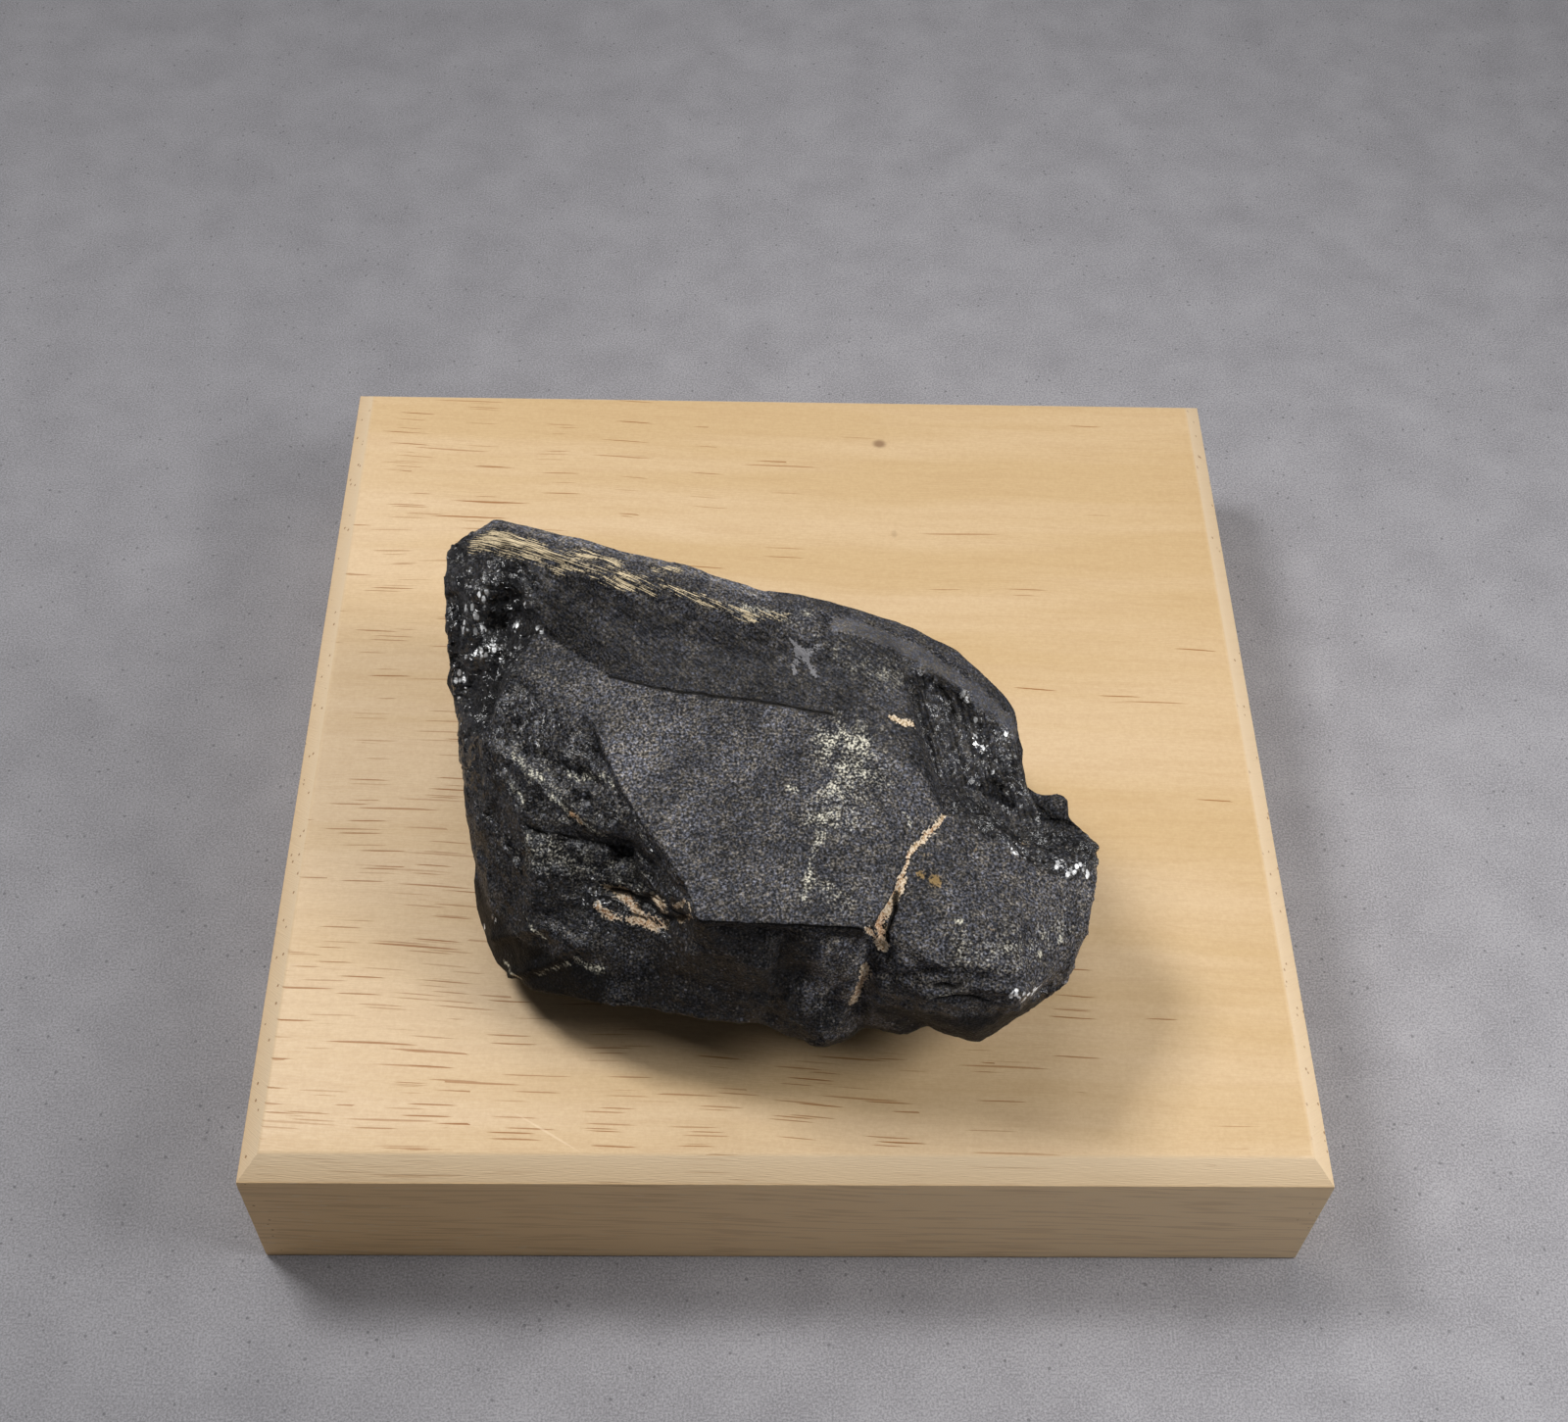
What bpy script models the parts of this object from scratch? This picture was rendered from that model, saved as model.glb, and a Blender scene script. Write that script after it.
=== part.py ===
"""A rutile specimen: one broken mass of dark crystal resting on a chamfered square wooden block.

The origin is the centre of the block's underside, +X runs to the right and +Z is up.  The crystal is drawn
by ridge lines that run from its left end to its right end, each a list of (station, x, y, height above the
block) in millimetres.  The skin is stretched from each ridge line to the next, so every edge and fold of the
broken faces lies on one of them, and lumps, pits and a low relief are pressed into that skin.
"""

import bmesh
import bpy
import numpy as np

MM = 0.001

# the wooden block
BLOCK_SIDE = 101.6
BLOCK_HEIGHT = 19.05
CHAMFER = 2.1
REST_GAP = 0.3

# where all ridge lines meet, in the middle of either side
LEFT_END = (-31.7, -8.2, 11.5)
RIGHT_END = (28, -25.6, 10.3)
LAST_STATION = 12

# ridge lines in order round the crystal: up its back, over the top, down its front and back underneath
RIDGES = {
    "back_foot": (
        (1, -31, -6, 0.8), (2, -29, 2, 0.4), (3, -22, 4.5, 0.4), (5, -8, 2, 0.4), (8, 10, -3, 0.4),
        (10, 19, -7, 0.4), (11, 26, -13, 0.6),
    ),
    "back_shoulder": (
        (1, -34, -1, 9), (2, -32, 7, 13), (3, -22.5, 8.5, 14), (5, -7, 5, 12), (7, 6, 2.5, 11),
        (8, 12, 1, 10), (9, 18.5, -3, 8), (10, 22, -7.5, 6), (10.4, 23.4, -12, 5), (11, 27.5, -15.5, 4.5),
    ),
    "rear_brow": (
        (1, -31.9, 2.2, 27), (1.6, -30.2, 2.5, 28.5), (2, -28.4, 2.6, 30), (3, -18, -2.5, 31.9),
        (4, -10.4, -3.6, 30.8), (5, -3.7, -5.6, 29.7), (6, 0.6, -5.4, 28.6), (7, 5.6, -6, 27.4),
        (8, 11.2, -7.3, 26.3), (8.6, 15.4, -9.2, 25.4), (9, 17.5, -11.2, 24.7), (9.6, 19.7, -12.9, 23.6),
        (10, 20.9, -14.1, 22.6), (10.2, 21.5, -15.9, 20.8), (10.4, 21.8, -19.5, 17.7),
        (11, 23.7, -21.2, 18.1),
    ),
    "crest": (
        (1, -33.1, 1, 27), (2, -26.6, -2.1, 32), (3, -17.9, -6.9, 33.4), (4, -10, -7.8, 31.6),
        (5, -3.9, -9.2, 30.2), (6, 0.4, -9.7, 29.4), (7, 5, -9.6, 28.5), (8, 10.9, -11.2, 27.1),
        (9, 15.8, -14.1, 25.5), (10, 20.5, -16.1, 22.3), (10.2, 20.9, -17.6, 20.6),
        (10.4, 21.6, -20.5, 17.7), (11, 25.5, -23, 17.9),
    ),
    "flank": (
        (1, -33.4, -1.1, 25.5), (2, -23.4, -6.5, 31), (3, -17.5, -10.2, 30), (4, -9.3, -11, 28.4),
        (5, -2.8, -12.6, 28), (6, 2.7, -13.8, 27.4), (7, 6.6, -14.2, 27.1), (7.6, 10.6, -14.6, 26.4),
        (8, 13.3, -20.4, 20.9), (8.6, 16.1, -20.6, 18.8), (9, 17.8, -20.9, 18.2), (10, 21.3, -22.6, 17.5),
        (11, 27.4, -24.2, 17.1),
    ),
    "crease": (
        (1, -33.1, -6.6, 22), (2, -23.2, -9.4, 27.3), (3, -17, -13.9, 26.9), (4, -8.6, -15.8, 26.4),
        (5, -3.8, -16.4, 26.5), (6, 3.5, -18, 26.2), (7, 7.8, -20.6, 25.7), (7.6, 11.2, -23.1, 25),
        (8, 13.3, -26.4, 23.5), (8.4, 14.9, -26.4, 22.9), (9, 16.8, -27.9, 22.1), (9.6, 19, -28.2, 21.6),
        (10, 20.7, -29.4, 20.7), (10.6, 25, -30.5, 18.5), (11, 28.2, -26.9, 16.7),
    ),
    "light_edge": (
        (1, -32.6, -9.3, 19), (2, -25.1, -13.5, 26.6), (3, -18.3, -18.7, 26.1), (3.4, -16.5, -23.2, 25.4),
        (3.8, -13.7, -28.8, 24.6), (4, -9.8, -34, 23.7), (4.4, -8.5, -37.6, 23.1), (5, -4.2, -38, 23.4),
        (6, 2.7, -38.3, 23.6), (7, 6.3, -38.5, 23.5), (8, 9.3, -33.7, 23.3), (9, 14, -36.4, 22.1),
        (10, 19.3, -36.5, 20.7), (11, 27.6, -30.3, 16.3),
    ),
    "ledge": (
        (1, -31.6, -13.4, 16.1), (2, -29.2, -17.2, 22.1), (3, -23.9, -26.2, 19.9),
        (3.4, -19.5, -27.5, 19.8), (3.8, -14.4, -28.4, 20.9), (4, -10.4, -34.2, 21.4),
        (4.4, -8.7, -37.2, 21.7), (5, -4.1, -37.7, 21.9), (6, 0.8, -38.7, 21.9), (7, 5.8, -38.3, 21.8),
        (8, 7.7, -37.6, 21.6), (9, 13.1, -40.7, 20.2), (10, 19.7, -39.6, 19.2), (11, 26.7, -33.4, 15.2),
    ),
    "broken": (
        (1, -31, -17.1, 13.3), (2, -28.5, -20.8, 16.8), (3, -23.9, -29.2, 16.6),
        (3.6, -18.6, -30.3, 16.8), (4, -13.7, -32.8, 17.5), (4.4, -8.2, -37.7, 18.6),
        (5, -4, -39.2, 18.2), (6, 0.1, -39.9, 16.9), (7, 4.4, -39.7, 18.2), (8, 6.8, -39.4, 18.7),
        (9, 11.5, -41, 17.2), (10, 20.3, -41.1, 17.2), (11, 25.9, -35.5, 13.8),
    ),
    "front_mid": (
        (1, -30.5, -21.7, 9), (2, -28.2, -27.2, 11.6), (3, -24.1, -31.8, 12.5), (3.6, -20.4, -34, 12.9),
        (4, -14, -36.4, 13.4), (5, -6.1, -39.1, 13.8), (6, -0.8, -40.7, 12.9), (7, 3.5, -40, 13.7),
        (8, 6.6, -40.4, 14.3), (9, 12.7, -41.2, 14.4), (10, 19.7, -41.5, 14.5), (11, 25, -37.1, 12.1),
    ),
    "lip": (
        (1, -30.1, -25.6, 4.5), (2, -27.8, -31.1, 4.1), (3, -24.3, -35, 6.3), (4, -16.8, -38.4, 9),
        (5, -7.9, -40.2, 10.2), (5.6, -2.2, -40.4, 9.5), (6, -0.2, -41, 8.4), (6.4, 3, -41.9, 7.9),
        (7, 5.6, -41, 8), (7.4, 6.7, -40.1, 8.4), (7.8, 8.7, -40.9, 8.5), (8, 10, -41.2, 8.5),
        (8.4, 12.4, -40.4, 9.6), (9, 14.1, -41.2, 9.6), (9.4, 17.2, -41.6, 8.7), (10, 20.7, -39.6, 9.3),
        (11, 23.8, -37.3, 9.8),
    ),
    "front_foot": (
        (1, -30, -18, 1.2), (2, -28.5, -24, 0.5), (3, -24, -27, 0.5), (4, -17, -28, 0.8),
        (5, -8, -29, 0.8), (6, 0, -30, 0.8), (7, 5, -30.5, 0.8), (8, 9, -31, 0.6), (9, 14, -31, 0.5),
        (10, 19, -29, 0.4), (11, 24, -26, 0.8),
    ),
    "under": (
        (1, -30, -12, 1.5), (2, -27, -13, 0.6), (3, -21, -14, 0.4), (5, -8, -14, 0.6), (8, 9, -17, 0.6),
        (10, 20, -19, 0.4), (11, 26, -19, 0.7),
    ),
}
# how deep the rough relief is at each ridge line: the clean flats stay almost plain
ROUGHNESS = {
    "back_foot": 0.5, "back_shoulder": 0.7, "rear_brow": 0.3, "crest": 0.3, "flank": 0.35, "crease": 0.15,
    "light_edge": 0.2, "ledge": 0.4, "broken": 0.6, "front_mid": 0.5, "lip": 0.3, "front_foot": 0.4,
    "under": 0.3,
}

# strips of skin between one ridge line and the next
ROWS = {
    "back_foot": 5, "back_shoulder": 5, "rear_brow": 3, "crest": 4, "flank": 4, "crease": 9, "light_edge": 3,
    "ledge": 3, "broken": 3, "front_mid": 3, "lip": 4, "front_foot": 5, "under": 5,
}
COLUMNS_PER_STATION = 5

# lumps stand out of the skin and pits are pressed into it: centre, reach and depth
LUMPS = {
    "knob": ((23.7, -22, 18), 2.2, 1.1),
    "middle_lobe": ((3.3, -41.3, 10.4), 3.2, 0.7),
    "right_lobe": ((16.5, -41.3, 11.3), 3.5, 0.6),
    "left_step": ((-30.1, -3.6, 27), 4.0, 0.7),
}
PITS = {
    "hollow": ((20, -24.2, 18), 3.6, 0.9),
    "left_bite": ((-30.6, -11, 20.9), 3.4, 1.0),
    "front_groove": ((0.4, -40.1, 16.9), 2.2, 0.8),
    "vein_pocket": ((-15.2, -32.1, 17.9), 3.0, 0.7),
    "ledge_notch": ((-15.7, -29, 20.1), 1.8, 0.8),
    "star_chip": ((2.2, -13.1, 27.7), 1.6, 0.4),
}
# the open crack that crosses the crystal beside its right-hand segment
CRACK_STATION = 8
CRACK_RIDGES = ("crease", "light_edge", "ledge", "broken")
CRACK_HALF_WIDTH = 0.2
CRACK_DEPTH = 0.7

RELIEF_CELLS = (7.0, 3.2, 1.6)
RELIEF_SEED = 11
LATTICE = 32


def clear_scene():
    for thing in list(bpy.data.objects):
        bpy.data.objects.remove(thing, do_unlink=True)


def paint(thing, name, colour, roughness):
    material = bpy.data.materials.new(name)
    material.use_nodes = True
    shader = material.node_tree.nodes["Principled BSDF"]
    shader.inputs["Base Color"].default_value = (*colour, 1.0)
    shader.inputs["Roughness"].default_value = roughness
    shader.inputs["Metallic"].default_value = 0.0
    thing.data.materials.append(material)


def add_object(name, mesh):
    thing = bpy.data.objects.new(name, mesh)
    bpy.context.collection.objects.link(thing)
    return thing


def lattice_noise(points, cell, seed):
    """Smooth noise from -1 to 1: random values on a cubic lattice, blended between its corners."""
    values = np.random.default_rng(seed).uniform(-1.0, 1.0, (LATTICE, LATTICE, LATTICE))
    place = points / cell + 100.0
    low = np.floor(place).astype(int)
    part = place - low
    part = part * part * (3.0 - 2.0 * part)
    total = np.zeros(points.shape[:-1])
    for corner in np.ndindex(2, 2, 2):
        index = (low + corner) % LATTICE
        weight = np.prod(np.where(np.array(corner) == 1, part, 1.0 - part), axis=-1)
        total += weight * values[index[..., 0], index[..., 1], index[..., 2]]
    return total


def ridge_points(name, stations):
    """A ridge line read at the given stations, straight between its own points."""
    line = np.array(((0, *LEFT_END), *RIDGES[name], (LAST_STATION, *RIGHT_END)), dtype=float)
    return np.stack([np.interp(stations, line[:, 0], line[:, axis]) for axis in (1, 2, 3)], axis=-1)


def stretch_skin(stations):
    """Grid of points [row, station]: straight strips between each ridge line and the next one round."""
    names = list(RIDGES)
    rows = []
    depth = []
    for name, after in zip(names, names[1:] + names[:1]):
        here = ridge_points(name, stations)
        there = ridge_points(after, stations)
        for share in np.arange(ROWS[name]) / ROWS[name]:
            rows.append(here + share * (there - here))
            depth.append(ROUGHNESS[name] + share * (ROUGHNESS[after] - ROUGHNESS[name]))
    return np.array(rows), np.array(depth)


def outward(points):
    """Unit normals of the skin from the steps along both directions of the grid."""
    along = np.gradient(points, axis=1)
    around = np.roll(points, -1, axis=0) - np.roll(points, 1, axis=0)
    normal = np.cross(along, around)
    return normal / np.maximum(np.linalg.norm(normal, axis=-1, keepdims=True), 1e-9)


def bumps(points, places, sign):
    """Round lumps or pits: a bell of the given depth that fades out at its reach."""
    total = np.zeros(points.shape[:-1])
    for centre, reach, depth in places.values():
        away = np.linalg.norm(points - np.array(centre), axis=-1) / reach
        total += sign * depth * np.exp(-2.0 * away**2)
    return total


def crack(stations):
    """How far the skin sinks at each row and station: a V along the crack, only between its ridge lines."""
    names = list(RIDGES)
    valley = np.clip(1.0 - abs(stations - CRACK_STATION) / CRACK_HALF_WIDTH, 0.0, 1.0)
    inside = np.concatenate([np.full(ROWS[name], name in CRACK_RIDGES, dtype=float) for name in names])
    return -CRACK_DEPTH * inside[:, None] * valley[None, :]


def crystal_surface():
    stations = np.linspace(0, LAST_STATION, LAST_STATION * COLUMNS_PER_STATION + 1)
    points, depth = stretch_skin(stations)
    relief = np.zeros(points.shape[:-1])
    for octave, cell in enumerate(RELIEF_CELLS):
        relief += lattice_noise(points, cell, RELIEF_SEED + octave) / 1.8**octave
    relief *= depth[:, None]
    relief += bumps(points, LUMPS, 1.0)
    relief += bumps(points, PITS, -1.0)
    relief += crack(stations)
    ends = np.clip(np.minimum(stations, LAST_STATION - stations), 0.0, 1.0)
    points = points + outward(points) * (relief * ends[None, :])[..., None]
    points[..., 2] = np.maximum(points[..., 2], REST_GAP)
    return points


def make_crystal():
    points = crystal_surface()
    points[..., 2] += BLOCK_HEIGHT
    points *= MM
    rows, columns = points.shape[:2]
    shape = bmesh.new()
    left = shape.verts.new(points[0, 0])
    right = shape.verts.new(points[0, -1])
    rings = [[shape.verts.new(points[row, column]) for row in range(rows)] for column in range(1, columns - 1)]
    for row in range(rows):
        after = (row + 1) % rows
        shape.faces.new((left, rings[0][row], rings[0][after]))
        shape.faces.new((right, rings[-1][after], rings[-1][row]))
        for ring, following in zip(rings, rings[1:]):
            shape.faces.new((ring[row], following[row], following[after], ring[after]))
    bmesh.ops.triangulate(shape, faces=shape.faces[:])
    bmesh.ops.recalc_face_normals(shape, faces=shape.faces[:])
    mesh = bpy.data.meshes.new("rutile_crystal")
    shape.to_mesh(mesh)
    shape.free()
    crystal = add_object("rutile_crystal", mesh)
    paint(crystal, "rutile", (0.055, 0.053, 0.056), 0.45)


def make_display_base():
    side = BLOCK_SIDE * MM
    height = BLOCK_HEIGHT * MM
    shape = bmesh.new()
    bmesh.ops.create_cube(shape, size=1.0)
    bmesh.ops.scale(shape, vec=(side, side, height), verts=shape.verts)
    bmesh.ops.translate(shape, vec=(0.0, 0.0, height / 2), verts=shape.verts)
    top = [edge for edge in shape.edges if all(vert.co.z > height / 2 for vert in edge.verts)]
    bmesh.ops.bevel(shape, geom=top, offset=CHAMFER * MM, segments=1, affect="EDGES")
    mesh = bpy.data.meshes.new("display_base")
    shape.to_mesh(mesh)
    shape.free()
    base = add_object("display_base", mesh)
    paint(base, "base_wood", (0.62, 0.45, 0.26), 0.5)


clear_scene()
make_display_base()
make_crystal()
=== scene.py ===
"""The looks of a rutile specimen: its skin with veins and fibres, a wooden block, floor, light and camera.

The crystal's skin is a function of two parameters: the station along the crystal and the place round it,
which runs through the same ridge lines as the solid.  It is worked out in millimetres above the block's top
and turned into metres at the end.
"""

import math

import bpy
import numpy as np
from mathutils import Matrix, Vector


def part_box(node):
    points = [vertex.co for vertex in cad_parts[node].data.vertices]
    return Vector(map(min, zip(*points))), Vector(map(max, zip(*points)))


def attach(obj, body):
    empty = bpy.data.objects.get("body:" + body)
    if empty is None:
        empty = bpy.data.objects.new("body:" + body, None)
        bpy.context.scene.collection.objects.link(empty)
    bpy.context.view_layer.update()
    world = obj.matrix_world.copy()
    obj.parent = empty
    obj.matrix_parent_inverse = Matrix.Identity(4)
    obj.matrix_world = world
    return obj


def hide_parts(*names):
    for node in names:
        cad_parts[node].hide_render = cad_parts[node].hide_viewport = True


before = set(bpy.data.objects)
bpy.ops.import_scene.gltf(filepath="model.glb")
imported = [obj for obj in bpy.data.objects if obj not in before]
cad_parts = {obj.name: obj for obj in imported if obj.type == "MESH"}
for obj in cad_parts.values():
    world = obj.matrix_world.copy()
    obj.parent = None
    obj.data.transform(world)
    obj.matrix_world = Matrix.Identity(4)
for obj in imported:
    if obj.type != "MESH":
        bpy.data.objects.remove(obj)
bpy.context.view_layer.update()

MM = 0.001
BLOCK_LOW, BLOCK_HIGH = (np.array(corner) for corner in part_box("display_base"))
CRYSTAL_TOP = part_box("rutile_crystal")[1][2]

# ---------------------------------------------------------------- the crystal's form, in millimetres

# the two ends of the skin, and the stations between them with their spacing
LEFT_END = (-31.7, -8.2, 11.5)
RIGHT_END = (28, -25.6, 10.3)
LAST_STATION = 12
STATION_STEP = 5.4
COLUMNS_PER_STATION = 20
# how far the skin stays above the wood and below the solid's highest point
REST_GAP = 0.3
TOP_ALLOWANCE = 0.01

# ridge lines, in order round the crystal: at each of its stations, the point that the line goes through
RIDGES = {
    "back_foot": (
        (1, -31, -6, 0.8), (2, -29, 2, 0.4), (3, -22, 4.5, 0.4), (5, -8, 2, 0.4), (8, 10, -3, 0.4),
        (10, 19, -7, 0.4), (11, 26, -13, 0.6),
    ),
    "back_shoulder": (
        (1, -34, -1, 9), (2, -32, 7, 13), (3, -22.5, 8.5, 14), (5, -7, 5, 12), (7, 6, 2.5, 11),
        (8, 12, 1, 10), (9, 18.5, -3, 8), (10, 22, -7.5, 6), (10.4, 23.4, -12, 5), (11, 27.5, -15.5, 4.5),
    ),
    "rear_brow": (
        (1, -31.9, 2.2, 27), (1.6, -30.2, 2.5, 28.5), (2, -28.4, 2.6, 30), (3, -18, -2.5, 31.9),
        (4, -10.4, -3.6, 30.8), (5, -3.7, -5.6, 29.7), (6, 0.6, -5.4, 28.6), (7, 5.6, -6, 27.4),
        (8, 11.2, -7.3, 26.3), (8.6, 15.4, -9.2, 25.4), (9, 17.5, -11.2, 24.7), (9.6, 19.7, -12.9, 23.6),
        (10, 20.9, -14.1, 22.6), (10.2, 21.5, -15.9, 20.8), (10.4, 21.8, -19.5, 17.7),
        (11, 23.7, -21.2, 18.1),
    ),
    "crest": (
        (1, -33.1, 1, 27), (2, -26.6, -2.1, 32), (3, -17.9, -6.9, 33.4), (4, -10, -7.8, 31.6),
        (5, -3.9, -9.2, 30.2), (6, 0.4, -9.7, 29.4), (7, 5, -9.6, 28.5), (8, 10.9, -11.2, 27.1),
        (9, 15.8, -14.1, 25.5), (10, 20.5, -16.1, 22.3), (10.2, 20.9, -17.6, 20.6),
        (10.4, 21.6, -20.5, 17.7), (11, 25.5, -23, 17.9),
    ),
    "flank": (
        (1, -33.4, -1.1, 25.5), (2, -23.4, -6.5, 31), (3, -17.5, -10.2, 30), (4, -9.3, -11, 28.4),
        (5, -2.8, -12.6, 28), (6, 2.7, -13.8, 27.4), (7, 6.6, -14.2, 27.1), (7.6, 10.6, -14.6, 26.4),
        (8, 13.3, -20.4, 20.9), (8.6, 16.1, -20.6, 18.8), (9, 17.8, -20.9, 18.2), (10, 21.3, -22.6, 17.5),
        (11, 27.4, -24.2, 17.1),
    ),
    "crease": (
        (1, -33.1, -6.6, 22), (2, -23.2, -9.4, 27.3), (3, -17, -13.9, 26.9), (4, -8.6, -15.8, 26.4),
        (5, -3.8, -16.4, 26.5), (6, 3.5, -18, 26.2), (7, 7.8, -20.6, 25.7), (7.6, 11.2, -23.1, 25),
        (8, 13.3, -26.4, 23.5), (8.4, 14.9, -26.4, 22.9), (9, 16.8, -27.9, 22.1), (9.6, 19, -28.2, 21.6),
        (10, 20.7, -29.4, 20.7), (10.6, 25, -30.5, 18.5), (11, 28.2, -26.9, 16.7),
    ),
    "light_edge": (
        (1, -32.6, -9.3, 19), (2, -25.1, -13.5, 26.6), (3, -18.3, -18.7, 26.1), (3.4, -16.5, -23.2, 25.4),
        (3.8, -13.7, -28.8, 24.6), (4, -9.8, -34, 23.7), (4.4, -8.5, -37.6, 23.1), (5, -4.2, -38, 23.4),
        (6, 2.7, -38.3, 23.6), (7, 6.3, -38.5, 23.5), (8, 9.3, -33.7, 23.3), (9, 14, -36.4, 22.1),
        (10, 19.3, -36.5, 20.7), (11, 27.6, -30.3, 16.3),
    ),
    "ledge": (
        (1, -31.6, -13.4, 16.1), (2, -29.2, -17.2, 22.1), (3, -23.9, -26.2, 19.9),
        (3.4, -19.5, -27.5, 19.8), (3.8, -14.4, -28.4, 20.9), (4, -10.4, -34.2, 21.4),
        (4.4, -8.7, -37.2, 21.7), (5, -4.1, -37.7, 21.9), (6, 0.8, -38.7, 21.9), (7, 5.8, -38.3, 21.8),
        (8, 7.7, -37.6, 21.6), (9, 13.1, -40.7, 20.2), (10, 19.7, -39.6, 19.2), (11, 26.7, -33.4, 15.2),
    ),
    "broken": (
        (1, -31, -17.1, 13.3), (2, -28.5, -20.8, 16.8), (3, -23.9, -29.2, 16.6),
        (3.6, -18.6, -30.3, 16.8), (4, -13.7, -32.8, 17.5), (4.4, -8.2, -37.7, 18.6),
        (5, -4, -39.2, 18.2), (6, 0.1, -39.9, 16.9), (7, 4.4, -39.7, 18.2), (8, 6.8, -39.4, 18.7),
        (9, 11.5, -41, 17.2), (10, 20.3, -41.1, 17.2), (11, 25.9, -35.5, 13.8),
    ),
    "front_mid": (
        (1, -30.5, -21.7, 9), (2, -28.2, -27.2, 11.6), (3, -24.1, -31.8, 12.5), (3.6, -20.4, -34, 12.9),
        (4, -14, -36.4, 13.4), (5, -6.1, -39.1, 13.8), (6, -0.8, -40.7, 12.9), (7, 3.5, -40, 13.7),
        (8, 6.6, -40.4, 14.3), (9, 12.7, -41.2, 14.4), (10, 19.7, -41.5, 14.5), (11, 25, -37.1, 12.1),
    ),
    "lip": (
        (1, -30.1, -25.6, 4.5), (2, -27.8, -31.1, 4.1), (3, -24.3, -35, 6.3), (4, -16.8, -38.4, 9),
        (5, -7.9, -40.2, 10.2), (5.6, -2.2, -40.4, 9.5), (6, -0.2, -41, 8.4), (6.4, 3, -41.9, 7.9),
        (7, 5.6, -41, 8), (7.4, 6.7, -40.1, 8.4), (7.8, 8.7, -40.9, 8.5), (8, 10, -41.2, 8.5),
        (8.4, 12.4, -40.4, 9.6), (9, 14.1, -41.2, 9.6), (9.4, 17.2, -41.6, 8.7), (10, 20.7, -39.6, 9.3),
        (11, 23.8, -37.3, 9.8),
    ),
    "front_foot": (
        (1, -30, -18, 1.2), (2, -28.5, -24, 0.5), (3, -24, -27, 0.5), (4, -17, -28, 0.8),
        (5, -8, -29, 0.8), (6, 0, -30, 0.8), (7, 5, -30.5, 0.8), (8, 9, -31, 0.6), (9, 14, -31, 0.5),
        (10, 19, -29, 0.4), (11, 24, -26, 0.8),
    ),
    "under": (
        (1, -30, -12, 1.5), (2, -27, -13, 0.6), (3, -21, -14, 0.4), (5, -8, -14, 0.6), (8, 9, -17, 0.6),
        (10, 20, -19, 0.4), (11, 26, -19, 0.7),
    ),
}
# how deep the rough relief is at each ridge line, and how many strips of skin follow it
STRIPS = {
    "back_foot": (0.5, 26), "back_shoulder": (0.7, 26), "rear_brow": (0.2, 22), "crest": (0.2, 26),
    "flank": (0.3, 34), "crease": (0.1, 96), "light_edge": (0.15, 26), "ledge": (0.4, 22),
    "broken": (0.55, 22), "front_mid": (0.4, 22), "lip": (0.25, 26), "front_foot": (0.4, 22),
    "under": (0.3, 22),
}
# how many times the strips are softened, and then again for the normals; edges past this angle are sharp
SKIN_PASSES = 2
NORMAL_PASSES = 3
CRYSTAL_SHARP = 50.0
# sizes of the noise and chips, and how much shallower each finer layer of them is
RELIEF_CELLS = (7.0, 3.2, 1.6)
RELIEF_FALL = 1.8
OCTAVE_SHARE = 0.55
WANDER_CELL = 2.0
GRAIN_CELL = 0.7
CHIP_CELL = 2.6
SMALL_CHIP_CELL = 1.3
SMALL_CHIP_SHARE = 0.4
# the seeds of the random lattices, how many cells a lattice has before it repeats, and where it starts
SEEDS = {"relief": 11, "wander": 40, "chips": 60, "upright": 70, "slant": 71, "grain": 80}
LATTICE = 32
LATTICE_SHIFT = 100.0
# fine lines: the length, slope and width of slanting ones, the size of upright ones along x, z and y, and the
# share of the recess's wall from which they stand upright
SLANT_LENGTH = 9.0
SLANT_SLOPE = 0.25
SLANT_WIDTH = 0.55
UPRIGHT_LENGTHS = (0.5, 7.0, 3.0)
WALL_SHARE = 0.3

# lumps and, with a height below 0, pits: the centre, the reach and the height
LUMPS = {
    "knob": ((24.4, -22.1, 18), 1.8, 1.5),
    "right_knob": ((27, -25.8, 16.8), 1.5, 0.7),
    "middle_lobe": ((3.3, -41.3, 10.4), 3.2, 0.7),
    "right_lobe": ((16.5, -41.3, 11.3), 3.5, 0.6),
    "left_step": ((-30.1, -3.6, 27), 4.0, 0.7),
    "hollow": ((20, -24.2, 18), 3.6, -0.9),
    "left_bite": ((-30.6, -11, 20.9), 3.4, -1.0),
    "front_groove": ((0.4, -40.1, 16.9), 2.2, -0.8),
    "vein_pocket": ((-15.2, -32.1, 17.9), 3.0, -0.7),
    "ledge_notch": ((-15.7, -29, 20.1), 1.8, -0.8),
    "star_chip": ((2.2, -13.1, 27.7), 1.6, -0.4),
}
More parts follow.
